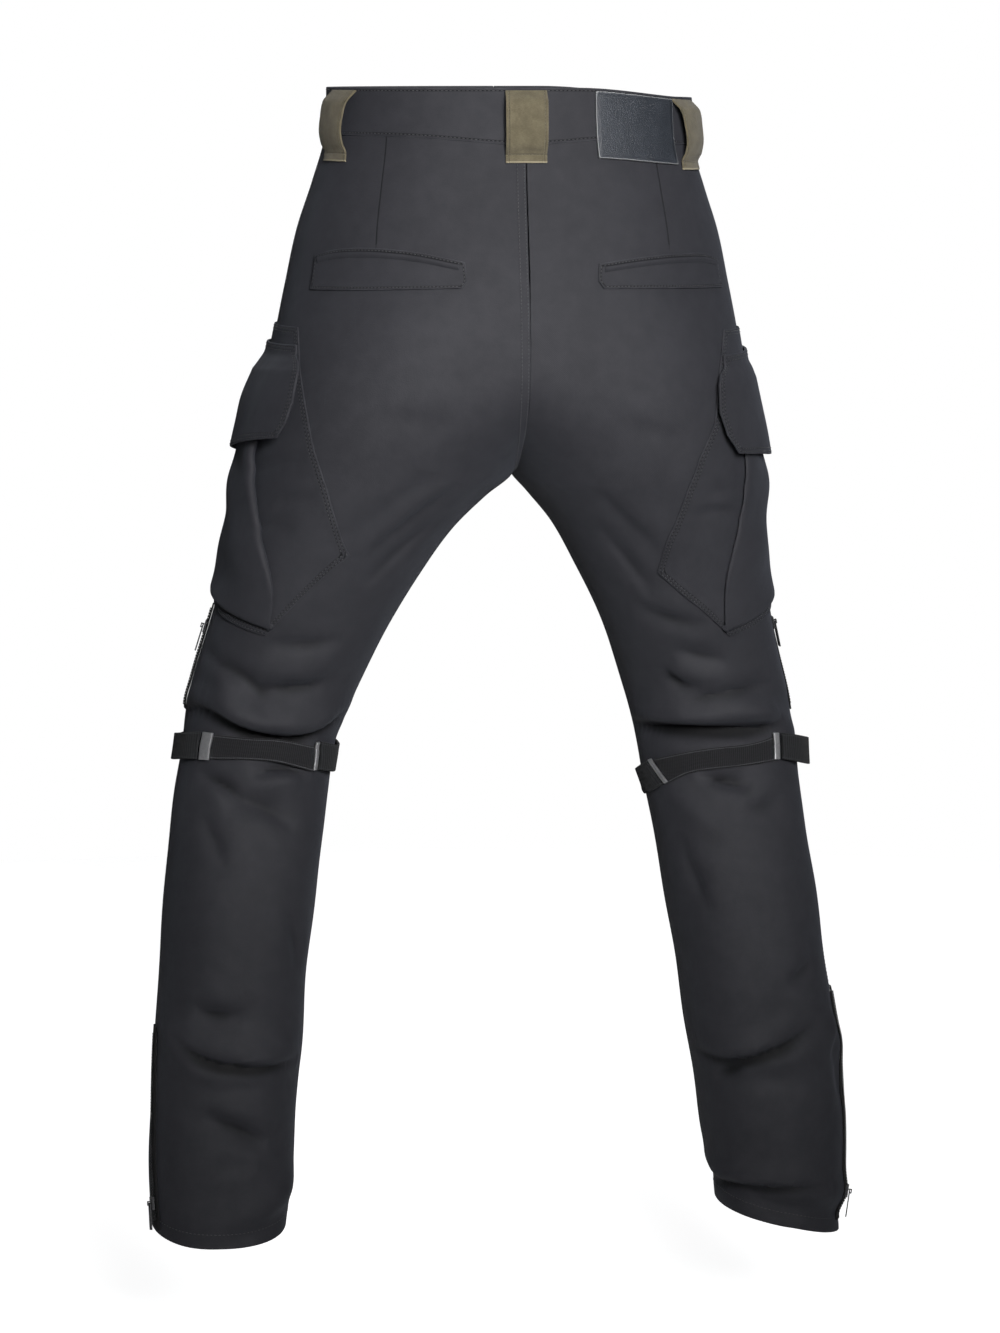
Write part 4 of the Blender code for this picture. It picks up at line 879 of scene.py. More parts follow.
@dataclass(frozen=True)
class WaxedCloth:
    """Charcoal waxed twill with a soft bluish sheen, with shade painted into its creases and grooves."""

    # The near-black colour painted into creases and grooves as their shade.
    painted_shade: tuple[float, float, float] = (0.0026, 0.0026, 0.0031)
    dark: tuple[float, float, float] = (0.0196, 0.0196, 0.0232)
    light: tuple[float, float, float] = (0.0276, 0.0276, 0.0325)
    worn: tuple[float, float, float] = (0.0560, 0.0565, 0.0630)
    sheen: float = 0.05
    ribs: float = 420.0
    groove: float = 0.0011
    dart_groove: float = 0.0009
    # Painted shade in creases: the crease depth where it starts, where it is full, and its strength.
    crease_start: float = 0.0012
    crease_full: float = 0.0068
    crease_shade: float = 0.95

    def build(self, name: str, rows: tuple[float, ...], dart: bool = False,
              wear: float = 0.35) -> bpy.types.Material:
        """Makes the finish of one kind of piece.

        Args:
            name: The material's name.
            rows: Distances of the grooves from the sewn borders, stitched or standing for a slit; shade is
                painted into each.
            dart: Whether the piece has a sewn dart.
            wear: How far its edges are rubbed pale, from 0 to 1.

        Returns:
            The material.
        """
        kit = Nodes(name)
        body, cloth = kit.place.outputs["Object"], kit.place.outputs["UV"]
        broad = kit.noise(body, 7.0, 3.0, 0.6)
        grain = kit.noise(cloth, 900.0, 2.0, 0.6)
        mottle = kit.noise(body, 70.0, 4.0, 0.6)
        tone = kit.math("ADD", kit.math("MULTIPLY", broad, 0.45), kit.math("MULTIPLY", mottle, 0.40))
        tone = kit.math("ADD", tone, kit.math("MULTIPLY", grain, 0.15))
        shade = kit.colour(kit.ease(tone, 0.30, 0.72), self.dark, self.light)
        edge = kit.attribute("edge_distance")
        rub = kit.math("MULTIPLY", kit.ease(edge, 0.0, 0.0016, 1.0, 0.0), kit.ease(mottle, 0.35, 0.70))
        shade = kit.colour(kit.math("MULTIPLY", rub, wear), shade, self.worn)
        # Painted shade: the colour darkens towards near-black where the narrow creases sink in.
        hollow = kit.ease(kit.attribute("crease_depth"), self.crease_start, self.crease_full, 0.0,
                          self.crease_shade)
        shade = kit.colour(hollow, shade, self.painted_shade)
        layers = [
            (kit.noise(body, 16.0, 2.0, 0.5), 0.0014),
            (mottle, 0.00030),
            (kit.wave(cloth, self.ribs, "DIAGONAL"), 0.00005),
            (grain, 0.00010),
        ]
        lines = [kit.groove(edge, at, self.groove) for at in rows]
        if dart:
            lines.append(kit.groove(kit.attribute("dart_distance"), 0.0, self.dart_groove))
        # Painted shade: each groove, whether a stitched row or the dart, is darkened in colour as if shaded,
        # besides being sunk by the bump.
        for line in lines:
            shade = kit.colour(kit.math("MULTIPLY", line, 0.85), shade, self.painted_shade)
            layers.append((line, -0.0002))
        if rows:
            pucker = kit.noise(cloth, 210.0, 1.0, 0.4)
            reach = kit.ease(edge, rows[-1] + 0.001, rows[-1] + 0.007, 1.0, 0.0)
            layers.append((kit.math("MULTIPLY", pucker, reach), 0.0004))
        kit.link(shade, kit.shader.inputs["Base Color"])
        rough = kit.ease(tone, 0.25, 0.75, 0.74, 0.66)
        for line in lines:
            rough = kit.math("MAXIMUM", rough, kit.math("MULTIPLY", line, 0.95))
        kit.link(rough, kit.shader.inputs["Roughness"])
        kit.set("IOR", 1.30)
        kit.set("Sheen Weight", self.sheen)
        kit.set("Sheen Roughness", 0.55)
        kit.set("Sheen Tint", (0.72, 0.78, 0.95, 1.0))
        kit.bump(tuple(layers))
        return kit.material


@dataclass(frozen=True)
class Canvas:
    """Khaki canvas of the belt loops."""

    dark: tuple[float, float, float] = (0.070, 0.058, 0.031)
    light: tuple[float, float, float] = (0.140, 0.117, 0.068)
    raw: tuple[float, float, float] = (0.300, 0.260, 0.170)
    threads: float = 330.0

    def build(self) -> bpy.types.Material:
        """Makes the finish."""
        kit = Nodes("khaki_canvas")
        cloth = kit.place.outputs["UV"]
        warp = kit.wave(cloth, self.threads, "X")
        weft = kit.wave(cloth, self.threads, "Y")
        weave = kit.math("MULTIPLY", warp, weft)
        blotch = kit.noise(kit.place.outputs["Object"], 90.0, 4.0, 0.6)
        fleck = kit.noise(kit.stretched("UV", (1.0, 5.0, 1.0)), 500.0, 2.0)
        tone = kit.math("ADD", kit.math("MULTIPLY", blotch, 0.55), kit.math("MULTIPLY", fleck, 0.35))
        tone = kit.math("ADD", tone, kit.math("MULTIPLY", weave, 0.15))
        shade = kit.colour(kit.ease(tone, 0.30, 0.75), self.dark, self.light)
        side = kit.attribute("edge_distance")
        line = kit.groove(side, 0.0026, 0.0009)
        shade = kit.colour(kit.math("MULTIPLY", line, 0.60), shade, self.dark)
        foot = kit.attribute("foot_distance")
        shade = kit.colour(kit.ease(foot, 0.0009, 0.0016, 0.85, 0.0), shade, self.raw)
        seam = kit.groove(foot, 0.0070, 0.0012)
        shade = kit.colour(kit.math("MULTIPLY", seam, 0.55), shade, self.dark)
        kit.link(shade, kit.shader.inputs["Base Color"])
        kit.link(kit.ease(tone, 0.2, 0.8, 0.90, 0.76), kit.shader.inputs["Roughness"])
        kit.set("Sheen Weight", 0.12)
        kit.set("Sheen Roughness", 0.6)
        kit.bump(((blotch, 0.0005), (weave, 0.00018), (fleck, 0.00012), (line, -0.0005), (seam, -0.0006)))
        return kit.material


@dataclass(frozen=True)
class PatchLeather:
    """Dark blue-grey leather with pale raw edges."""

    dark: tuple[float, float, float] = (0.0190, 0.0225, 0.0290)
    light: tuple[float, float, float] = (0.0330, 0.0380, 0.0480)
    raw: tuple[float, float, float] = (0.230, 0.235, 0.240)

    def build(self) -> bpy.types.Material:
        """Makes the finish."""
        kit = Nodes("bare_leather")
        body = kit.place.outputs["Object"]
        cells = kit.add("ShaderNodeTexVoronoi")
        cells.feature = "DISTANCE_TO_EDGE"
        kit.link(body, cells.inputs["Vector"])
        cells.inputs["Scale"].default_value = 620.0
        grain = kit.ease(cells.outputs["Distance"], 0.0, 0.25)
        blotch = kit.noise(body, 60.0, 4.0, 0.6)
        pores = kit.noise(body, 1500.0, 2.0)
        tone = kit.math("ADD", kit.math("MULTIPLY", blotch, 0.75), kit.math("MULTIPLY", grain, 0.25))
        shade = kit.colour(kit.ease(tone, 0.35, 0.85), self.dark, self.light)
        edge = kit.attribute("edge_distance")
        ragged = kit.math("ADD", edge, kit.math("MULTIPLY", pores, 0.0006))
        shade = kit.colour(kit.ease(ragged, 0.0008, 0.0013, 0.8, 0.0), shade, self.raw)
        press = kit.ease(edge, 0.0015, 0.0040)
        kit.link(shade, kit.shader.inputs["Base Color"])
        kit.link(kit.ease(tone, 0.3, 0.9, 0.46, 0.62), kit.shader.inputs["Roughness"])
        kit.set("IOR", 1.48)
        kit.bump(((press, 0.0006), (blotch, 0.0006), (grain, 0.00016), (pores, 0.00008)))
        return kit.material


@dataclass(frozen=True)
class Ribbed:
    """Narrow woven goods: elastic or webbing, with ribs across and threads along the edges."""

    name: str
    dark: tuple[float, float, float]
    light: tuple[float, float, float]
    edge_thread: tuple[float, float, float]
    ribs: float
    roughness: float = 0.88

    def build(self) -> bpy.types.Material:
        """Makes the finish."""
        kit = Nodes(self.name)
        cloth = kit.place.outputs["UV"]
        ribs = kit.wave(cloth, self.ribs, "X")
        cords = kit.wave(cloth, self.ribs * 0.55, "Y")
        fluff = kit.noise(cloth, 900.0, 3.0, 0.7)
        tone = kit.math("ADD", kit.math("MULTIPLY", ribs, 0.45), kit.math("MULTIPLY", fluff, 0.55))
        shade = kit.colour(kit.ease(tone, 0.25, 0.85), self.dark, self.light)
        edge = kit.attribute("edge_distance")
        line = kit.groove(edge, 0.0014, 0.0007)
        broken = kit.math("MULTIPLY", line, kit.ease(fluff, 0.30, 0.55, 0.35, 1.0))
        shade = kit.colour(broken, shade, self.edge_thread)
        kit.link(shade, kit.shader.inputs["Base Color"])
        kit.set("Roughness", self.roughness)
        kit.set("IOR", 1.35)
        kit.set("Sheen Weight", 0.03)
        kit.set("Sheen Roughness", 0.6)
        kit.bump(((ribs, 0.00022), (cords, 0.00014), (fluff, 0.00016), (line, 0.0003)))
        return kit.material


@dataclass(frozen=True)
class Thread:
    """Bonded sewing thread."""

    name: str
    dark: tuple[float, float, float]
    light: tuple[float, float, float]

    def build(self) -> bpy.types.Material:
        """Makes the finish."""
        kit = Nodes(self.name)
        body = kit.place.outputs["Object"]
        twist = kit.noise(body, 2600.0, 2.0)
        shade = kit.colour(kit.ease(kit.noise(body, 300.0, 2.0), 0.3, 0.7), self.dark, self.light)
        kit.link(shade, kit.shader.inputs["Base Color"])
        kit.set("Roughness", 0.55)
        kit.set("Sheen Weight", 0.2)
        kit.bump(((twist, 0.00008),))
        return kit.material


@dataclass(frozen=True)
class BrushedSteel:
    """Steel brushed along the piece, a little rubbed."""

    name: str
    dark: tuple[float, float, float] = (0.62, 0.62, 0.64)
    light: tuple[float, float, float] = (0.90, 0.90, 0.91)
    roughness: float = 0.42

    def build(self) -> bpy.types.Material:
        """Makes the finish."""
        kit = Nodes(self.name)
        lines = kit.noise(kit.stretched("Object", (1.0, 1.0, 12.0)), 420.0, 3.0, 0.7)
        rub = kit.noise(kit.place.outputs["Object"], 160.0, 4.0, 0.6)
        tone = kit.math("ADD", kit.math("MULTIPLY", lines, 0.5), kit.math("MULTIPLY", rub, 0.5))
        kit.link(kit.colour(kit.ease(tone, 0.3, 0.7), self.dark, self.light), kit.shader.inputs["Base Color"])
        rough = kit.ease(tone, 0.3, 0.7, self.roughness + 0.14, self.roughness)
        kit.link(rough, kit.shader.inputs["Roughness"])
        kit.set("Metallic", 1.0)
        kit.bump(((lines, 0.00006), (rub, 0.00010)))
        return kit.material


class Finishes:
    """Every finish of the trousers, made once."""

    def __init__(self) -> None:
        """Builds the materials."""
        waxed = WaxedCloth()
        self.panel = waxed.build("waxed_panel", (), wear=0.15)
        self.back = waxed.build("waxed_back", (), dart=True, wear=0.15)
        self.band = waxed.build("waxed_band", (0.0024,))
        self.patch = waxed.build("waxed_patch", (0.0022, 0.0052))
        self.flap = waxed.build("waxed_flap", (0.0024, 0.0054))
        self.welt = waxed.build("waxed_welt", (0.0020,))
        self.bag = waxed.build("waxed_bag", (), wear=0.3)
        self.fell = waxed.build("waxed_fell", (), wear=0.10)
        # The piping's one line, 0.7 mm under its top, is painted shade for the pocket slit, not a stitched
        # row.
        self.mouth = waxed.build("waxed_mouth", (0.0007,), wear=0.0)
        self.canvas = Canvas().build()
        self.leather = PatchLeather().build()
        self.elastic = Ribbed("ribbed_elastic", (0.0055, 0.0055, 0.0066), (0.0145, 0.0147, 0.0168),
                              (0.055, 0.056, 0.061), 170.0).build()
        self.webbing = Ribbed("ribbed_webbing", (0.0055, 0.0060, 0.0068), (0.0190, 0.0200, 0.0220),
                              (0.024, 0.026, 0.028), 120.0).build()
        self.tape = Ribbed("zip_tape_weave", (0.0035, 0.0035, 0.0040), (0.0090, 0.0090, 0.0100),
                           (0.012, 0.012, 0.013), 260.0).build()
        self.thread = Thread("charcoal_thread", (0.013, 0.013, 0.015), (0.030, 0.030, 0.035)).build()
        self.khaki_thread = Thread("khaki_thread", (0.070, 0.058, 0.032), (0.120, 0.100, 0.058)).build()
        self.steel = BrushedSteel("brushed_steel").build()
        self.gunmetal = BrushedSteel("gunmetal", (0.028, 0.028, 0.030), (0.075, 0.075, 0.078), 0.42).build()
        self.teeth = BrushedSteel("zip_teeth_metal", (0.022, 0.022, 0.024), (0.060, 0.060, 0.064),
                                  0.36).build()


@dataclass
class Repeats:
    """A small shape that is modelled once and copied along a line."""

    pitch: float

    def places(self, line: np.ndarray, rise: float, sideways: float = 0.0, start: float = 0.5) -> np.ndarray:
        """Frames at even steps along a line.

        Args:
            line: Rows of point and outward direction.
            rise: How far out from the cloth each copy sits.
            sideways: How far beside the line.
            start: Where the first copy lies, as a share of the pitch.

        Returns:
            One frame of 3 rows and 4 columns for each copy.
        """
        run = np.concatenate([[0.0], np.cumsum(np.linalg.norm(np.diff(line[:, :3], axis=0), axis=1))])
        at = np.arange(self.pitch * start, run[-1] - self.pitch * 0.3, self.pitch)
        values = np.stack([np.interp(at, run, line[:, k]) for k in range(6)], axis=-1)
        ahead = np.stack([np.interp(at + self.pitch * 0.2, run, line[:, k]) for k in range(3)], axis=-1)
        behind = np.stack([np.interp(at - self.pitch * 0.2, run, line[:, k]) for k in range(3)], axis=-1)
        along = unit(ahead - behind)
        out = unit(values[:, 3:])
        beside = unit(np.cross(out, along))
        out = np.cross(along, beside)
        centre = values[:, :3] + out * rise + beside * sideways
        return np.stack([along, beside, out, centre], axis=-1)

    def copy(self, name: str, model: bpy.types.Object, frames: np.ndarray) -> bpy.types.Object:
        """Joins one copy of the model for each frame into a mesh of its own."""
        base = np.array([v.co[:] for v in model.data.vertices])
        points = np.einsum("nij,vj->nvi", frames[:, :, :3], base) + frames[:, None, :, 3]
        faces = []
        for k in range(len(frames)):
            offset = k * len(base)
            faces += [[offset + v for v in polygon.vertices] for polygon in model.data.polygons]
        mesh = bpy.data.meshes.new(name)
        mesh.from_pydata(points.reshape(-1, 3).tolist(), [], faces)
        obj = bpy.data.objects.new(name, mesh)
        bpy.context.scene.collection.objects.link(obj)
        soften(obj, 60)
        return obj


@dataclass
class Stitching(Repeats):
    """Rows of thread. Each stitch dips into the cloth at both ends."""

    pitch: float = 0.0036
    length: float = 0.0027
    width: float = 0.00062
    height: float = 0.00052
    dip: float = 0.00045

    def model(self) -> bpy.types.Object:
        """Models one stitch."""
        deselect()
        bpy.ops.mesh.primitive_uv_sphere_add(segments=6, ring_count=5, radius=0.5)
        obj = bpy.context.active_object
        for vert in obj.data.vertices:
            along, beside, out = vert.co.z, vert.co.x, vert.co.y
            bow = self.dip * (2.0 * along) ** 2
            vert.co = (along * self.length, -beside * self.width, out * self.height - bow)
        obj.data.update()
        return obj

    def sew(self, name: str, lines: list[np.ndarray], material: bpy.types.Material, slot: Slot) -> None:
        """Sews rows of stitches into one piece.

        Args:
            name: The piece's name.
            lines: The rows, each of points and outward directions.
            material: The thread's finish.
            slot: The record's material slot, not used here.
        """
        model = self.model()
        frames = np.concatenate([self.places(line, self.height * 0.30) for line in lines if len(line) > 3])
        obj = self.copy(name, model, frames)
        bpy.data.objects.remove(model)
        hand_over(obj, material)


@dataclass
class Panels:
    """The front and back of one leg, from the waistband to the hem."""

    leg: LegForm
    dart: tuple[Spot, Spot]
    row_step: float = 0.0034
    fork_rows: int = 62
    back_across: int = 88
    front_across: int = 50
    hem_row: float = 0.0125

    def heights(self) -> np.ndarray:
        """Heights of the rows, close together at the fork, where the seams turn under."""
        fork_top = CROTCH_Z + FORK_HEIGHT
        hips = np.linspace(PANEL_TOP, fork_top, int((PANEL_TOP - fork_top) / self.row_step), endpoint=False)
        steps = np.linspace(1.0, 0.0, self.fork_rows) ** 2
        fork = CROTCH_Z + FORK_HEIGHT * steps
        legs = np.linspace(CROTCH_Z, self.leg.hem.z, int((CROTCH_Z - self.leg.hem.z) / self.row_step))
        return np.concatenate([hips, fork, legs[1:]])

    def sheet(self, name: str, first: float, last: float, count: int) -> Sheet:
        """One panel between two columns of the solids' grid."""
        z = self.heights()[:, None]
        columns = np.linspace(first + HALF_SEAM, last - HALF_SEAM, count)[None, :]
        z, columns = np.broadcast_arrays(z, columns)
        angle = self.leg.column_angle(columns, z)
        centre = self.leg.smooth(angle, z).mean(axis=1, keepdims=True)
        points = self.leg.surface(angle, z, 0.0)
        borders = (Border.START, Border.END, Border.TOP)
        sheet = Sheet(f"{name}_cloth_{self.leg.name}", points, centre, CLOTH, borders)
        # The narrow creases' depth, which the cloth's material reads to paint shade into them.
        creased = self.leg.relief(angle, z, True) - self.leg.relief(angle, z, False)
        sheet.marks["crease_depth"] = np.maximum(0.0, -creased)
        if name == "back":
            sheet.marks["dart_distance"] = self.dart_marks(angle, z)
        return sheet

    def dart_marks(self, angle: np.ndarray, z: np.ndarray) -> np.ndarray:
        """How far each point lies from the sewn dart."""
        top, tip = self.dart
        share = np.clip((top.z - z) / (top.z - tip.z), 0.0, 1.0)
        middle = np.radians(top.angle + (tip.angle - top.angle) * share)
        beside = (angle - middle) * self.leg.girth(z)
        below = np.maximum(0.0, tip.z - z)
        return np.sign(beside) * np.hypot(beside, below)

    def build(self, finishes: Finishes) -> dict[str, Sheet]:
        """Builds the two panels with their hem stitching.

        Returns:
            The two sheets, by name.
        """
        sheets = {
            "front": self.sheet("front", 0, FRONT_COLUMNS, self.front_across),
            "back": self.sheet("back", FRONT_COLUMNS, COLUMNS, self.back_across),
        }
        rows = []
        for name, sheet in sheets.items():
            material = finishes.back if name == "back" else finishes.panel
            lower = "calf" if name == "back" else "shin"
            nodes = (f"{name}_panel_{self.leg.name}", f"{name}_{lower}_{self.leg.name}")
            lay_cloth(sheet, material, nodes)
            rows.append(sheet.trace(Border.BOTTOM, self.hem_row))
        side = sheets["back"].trace(Border.START, 0.0022, (0.004, 0.014))
        rows.append(side)
        Stitching().sew(f"hem_stitches_{self.leg.name}", rows, finishes.thread, Slot.WAXED)
        return sheets


@dataclass
class SeatSeam:
    """The felled seam down the middle of the seat, lying on the wearer's left."""

    width: float = 0.0080
    lift: float = 0.0008
    slope: float = 0.7
    overrun: float = 0.006
    across: int = 7
    inset: float = 0.0012

    def build(self, back: Sheet, finishes: Finishes) -> None:
        """Builds the strip and its two rows of thread.

        Args:
            back: The left back panel.
            finishes: The finishes.
        """
        lines = []
        for share in np.linspace(0.0, 1.0, self.across):
            line = back.trace(Border.END, SEAM_GAP + self.width * share)
            body = line[:, 2] > CROTCH_Z - self.overrun
            rise = self.lift * (1.0 - self.slope * share)
            lines.append(line[body, :3] + line[body, 3:] * rise)
        count = min(len(line) for line in lines)
        points = np.stack([line[:count] for line in lines], axis=1)
        sheet = Sheet("seat_seam_fell", points, back.centre[:count], self.lift - 0.0002,
                      (Border.START, Border.END), 0.0003)
        lay_cloth(sheet, finishes.fell)
        rows = [
            sheet.trace(Border.START, self.inset, (0.002, 0.002)),
            sheet.trace(Border.END, self.inset, (0.002, 0.002)),
        ]
        Stitching(pitch=0.0032).sew("seat_seam_stitches", rows, finishes.thread, Slot.WAXED)


@dataclass
class Waistband:
    """One ring of doubled cloth, open by a hair at the front, with its steel button."""

    lift: float = 0.0010
    cloth: float = 0.0030
    steps: int = 130
    rows: int = 13
    stitch_inset: float = 0.0024
    dip: float = 0.0072
    dip_reach: float = 0.070
    button_x: float = 0.011
    button_radius: float = 0.0085
    button_height: float = 0.0036

    def sheet(self, left: LegForm, right: LegForm) -> Sheet:
        """The band round both legs' tops."""
        z = np.linspace(BAND_TOP, BAND_BOTTOM, self.rows)[:, None]
        halves = []
        for leg, columns in ((left, np.linspace(0.0, COLUMNS, self.steps)),
                             (right, np.linspace(COLUMNS, 0.0, self.steps))):
            height, column = np.broadcast_arrays(z, columns[None, :])
            level = leg.surface(leg.column_angle(column, height), height, self.lift, fine=False)
            near_back = np.exp(-((level[..., 0] / self.dip_reach) ** 2)) * (level[..., 1] > 0.0)
            height = height - self.dip * near_back * (BAND_TOP - height) / (BAND_TOP - BAND_BOTTOM)
            points = leg.surface(leg.column_angle(column, height), height, self.lift, fine=False)
            halves.append(points)
        halves[0][:, -1, 0] = 0.0
        points = np.concatenate([halves[0], halves[1][:, 1:]], axis=1)
        centre = np.zeros((self.rows, 1, 3))
        centre[:, 0, 2] = z[:, 0]
        return Sheet("waistband_cloth", points, centre, self.cloth, (Border.TOP, Border.BOTTOM), 0.0007)

    def button(self, left: LegForm, finishes: Finishes) -> None:
        """A pressed steel button with a raised rim."""
        z = np.zeros(1)
        angle = left.angle_at_x(np.full(1, self.button_x), z, back=False)
        foot = left.surface(angle, z, self.lift + REST_GAP, fine=False)[0]
        out = Vector(left.normal(angle, z)[0])
        deselect()
        bpy.ops.mesh.primitive_cylinder_add(vertices=40, radius=self.button_radius, depth=self.button_height)
        obj = bpy.context.active_object
        obj.name = "waist_button_steel"
        bpy.ops.object.mode_set(mode="EDIT")
        bpy.ops.mesh.select_all(action="DESELECT")
        bpy.ops.object.mode_set(mode="OBJECT")
        for polygon in obj.data.polygons:
            polygon.select = polygon.normal.z > 0.9
        bpy.ops.object.mode_set(mode="EDIT")
        bpy.ops.mesh.inset(thickness=0.0014)
        bpy.ops.transform.translate(value=(0.0, 0.0, -0.0008))
        bpy.ops.mesh.inset(thickness=0.0040)
        bpy.ops.transform.translate(value=(0.0, 0.0, 0.0005))
        bpy.ops.object.mode_set(mode="OBJECT")
        edge = obj.modifiers.new("edge", "BEVEL")
        edge.width = 0.0004
        edge.segments = 3
        edge.limit_method = "ANGLE"
        apply_modifier(obj, edge)
        turn = Vector((0.0, 0.0, 1.0)).rotation_difference(out).to_matrix().to_4x4()
        obj.data.transform(Matrix.Translation(Vector(foot) + out * self.button_height / 2.0) @ turn)
        soften(obj, 35)
        hand_over(obj, finishes.steel, ("waist_button",))

    def build(self, left: LegForm, right: LegForm, finishes: Finishes) -> None:
        """Builds the band, its two rows of thread and the button."""
        sheet = self.sheet(left, right)
        lay_cloth(sheet, finishes.band, ("waistband",))
        rows = [sheet.trace(Border.TOP, self.stitch_inset), sheet.trace(Border.BOTTOM, self.stitch_inset)]
        Stitching().sew("waistband_stitches", rows, finishes.thread, Slot.WAXED)
        self.button(left, finishes)


@dataclass
class BeltLoops:
    """Five khaki loops, sewn down at both ends and standing off the band between them."""

    width: float = 0.035
    cloth: float = 0.0018
    left_back: tuple[float, float, float] = (203.0, 198.5, 200.5)
    right_back: tuple[float, float, float] = (209.0, 204.0, 205.0)
    front: tuple[float, float, float] = (128.0, 128.0, 128.0)
    across: int = 13
    down: int = 40
    stitch_inset: float = 0.0026
    profile: tuple[tuple[float, float], ...] = (
        (0.0185, 0.0018),
        (0.0150, 0.0046),
        (0.0090, 0.0088),
        (-0.0060, 0.0096),
        (-0.0190, 0.0090),
        (-0.0295, 0.0054),
        (-0.0350, 0.0010),
        (-0.0425, 0.0008),
    )

    def lifts(self) -> tuple[np.ndarray, np.ndarray]:
        """Heights of the rows and how far the outer face stands off the panel there."""
        z = np.linspace(self.profile[0][0], self.profile[-1][0], self.down)
        lift = cubic_between(np.array(self.profile), z)[:, 1] + self.cloth
        return z[:, None], np.maximum(lift, self.profile[-1][1] + self.cloth)[:, None]

    def middle(self, left: LegForm, right: LegForm) -> np.ndarray:
        """The outer face of the loop over the seat seam."""
        z, lift = self.lifts()
        half = self.width / 2.0
        parts = []
        for leg, offsets in ((left, np.linspace(half, 0.0, self.across // 2 + 1)),
                             (right, np.linspace(0.0, half, self.across // 2 + 1)[1:])):
            height, x = np.broadcast_arrays(z, offsets[None, :])
            parts.append(leg.surface(leg.angle_at_x(x, height, back=True), height, lift, fine=False))
        parts[0][:, -1, 0] = 0.0
        return np.concatenate(parts, axis=1)

    def side(self, leg: LegForm, angles: tuple[float, float, float]) -> np.ndarray:
        """The outer face of a loop whose middle passes three angles of a leg, from its top down."""
        z, lift = self.lifts()
        radians = math.radians(angles[1])
        here, there = (leg.surface(np.array([a]), np.zeros(1), 0.0, fine=False)[0]
                       for a in (radians, radians + TURN_STEP))
        turn = self.width / 2.0 / float(np.linalg.norm(there - here)) * TURN_STEP
        share = np.linspace(0.0, 1.0, len(z))
        bend = np.polyval(np.polyfit((0.0, 0.5, 1.0), np.radians(angles), 2), share)[:, None]
        height, across = np.broadcast_arrays(z, np.linspace(-turn, turn, self.across)[None, :])
        return leg.surface(bend + across, height, lift, fine=False)

    def build(self, left: LegForm, right: LegForm, finishes: Finishes) -> None:
        """Builds the five loops with their rows of thread."""
        grids = {"belt_loop_back": self.middle(left, right)}
        for leg in (left, right):
            back = self.left_back if leg is left else self.right_back
            grids[f"belt_loop_back_{leg.name}"] = self.side(leg, back)
            grids[f"belt_loop_front_{leg.name}"] = self.side(leg, self.front)
        rows = []
        for node, points in grids.items():
            centre = np.zeros((len(points), 1, 3))
            centre[:, 0, 2] = points[:, :, 2].mean(axis=1)
            sheet = Sheet(f"{node}_canvas", points, centre, self.cloth, (Border.START, Border.END), 0.0004)
            sheet.marks["foot_distance"] = sheet.distance(Border.BOTTOM)
            lay_cloth(sheet, finishes.canvas, (node,))
            rows.append(sheet.trace(Border.START, self.stitch_inset, (0.001, 0.001)))
            rows.append(sheet.trace(Border.END, self.stitch_inset, (0.001, 0.001)))
            rows.append(sheet.trace(Border.BOTTOM, 0.0070, (0.002, 0.002)))
        stitching = Stitching(pitch=0.0030, length=0.0023)
        stitching.sew("belt_loop_stitches", rows, finishes.khaki_thread, Slot.KHAKI)


@dataclass
class LeatherPatch:
    """A bare patch of leather over the band on the wearer's right."""

    angles: tuple[float, float] = (217.0, 250.5)
    top: float = 0.0180
    bottom: float = -0.0385
    lift: float = 0.0016
    cloth: float = 0.0022

    def build(self, leg: LegForm, finishes: Finishes) -> None:
        """Builds the patch."""
        z = np.linspace(self.top, self.bottom, 34)[:, None]
        angle = np.radians(np.linspace(*self.angles, 40))[None, :]
        angle, z = np.broadcast_arrays(angle, z)
        centre = leg.smooth(angle, z) - leg.normal(angle, z) * 0.1
        points = leg.surface(angle, z, self.lift + self.cloth, fine=False)
        borders = (Border.TOP, Border.BOTTOM, Border.START, Border.END)
        sheet = Sheet("leather_patch_bare", points, centre, self.cloth, borders, 0.0005)
        lay_cloth(sheet, finishes.leather, ("leather_patch",))


@dataclass
class Applied:
    """A flat piece sewn to a leg inside four borders."""

    name: str
    node: str
    leg: LegForm
    top: tuple[Spot, ...]
    bottom: tuple[Spot, ...]
    start: tuple[Spot, ...]
    end: tuple[Spot, ...]
    lift: float
    cloth: float
    across: int
    down: int
    borders: tuple[Border, ...] = (Border.TOP, Border.BOTTOM, Border.START, Border.END)
    soft: bool = False
    fine: bool = True

    def sheet(self) -> Sheet:
        """The piece over the leg's form."""
        sample = smooth_chain if self.soft else chain
        across, top = sample(self.top, self.across)
        low_share, bottom = sample(self.bottom, self.across)
        down, start = chain(self.start, self.down)
        end_share, end = chain(self.end, self.down)
        across = (across + low_share) / 2.0
        down = (down + end_share) / 2.0
        grid = four_sided(top, bottom, start, end, across, down)
        angle, z = np.radians(grid[..., 0]), grid[..., 1]
        points = self.leg.surface(angle, z, self.lift + self.cloth, self.fine)
        centre = points - self.leg.normal(angle, z)
        return Sheet(self.name, points, centre, self.cloth, self.borders, 0.0004)

    def build(self, material: bpy.types.Material, slot: Slot, held: Held, rests_on: list[str]) -> Sheet:
        """Builds the piece and returns its sheet for stitching."""
        sheet = self.sheet()
        lay_cloth(sheet, material, (self.node,))
        return sheet


def all_round(sheet: Sheet, offset: float) -> list[np.ndarray]:
    """Four rows beside a sheet's borders that meet at its corners."""
    trims = (offset, offset)
    return [sheet.trace(border, offset, trims) for border in Border]


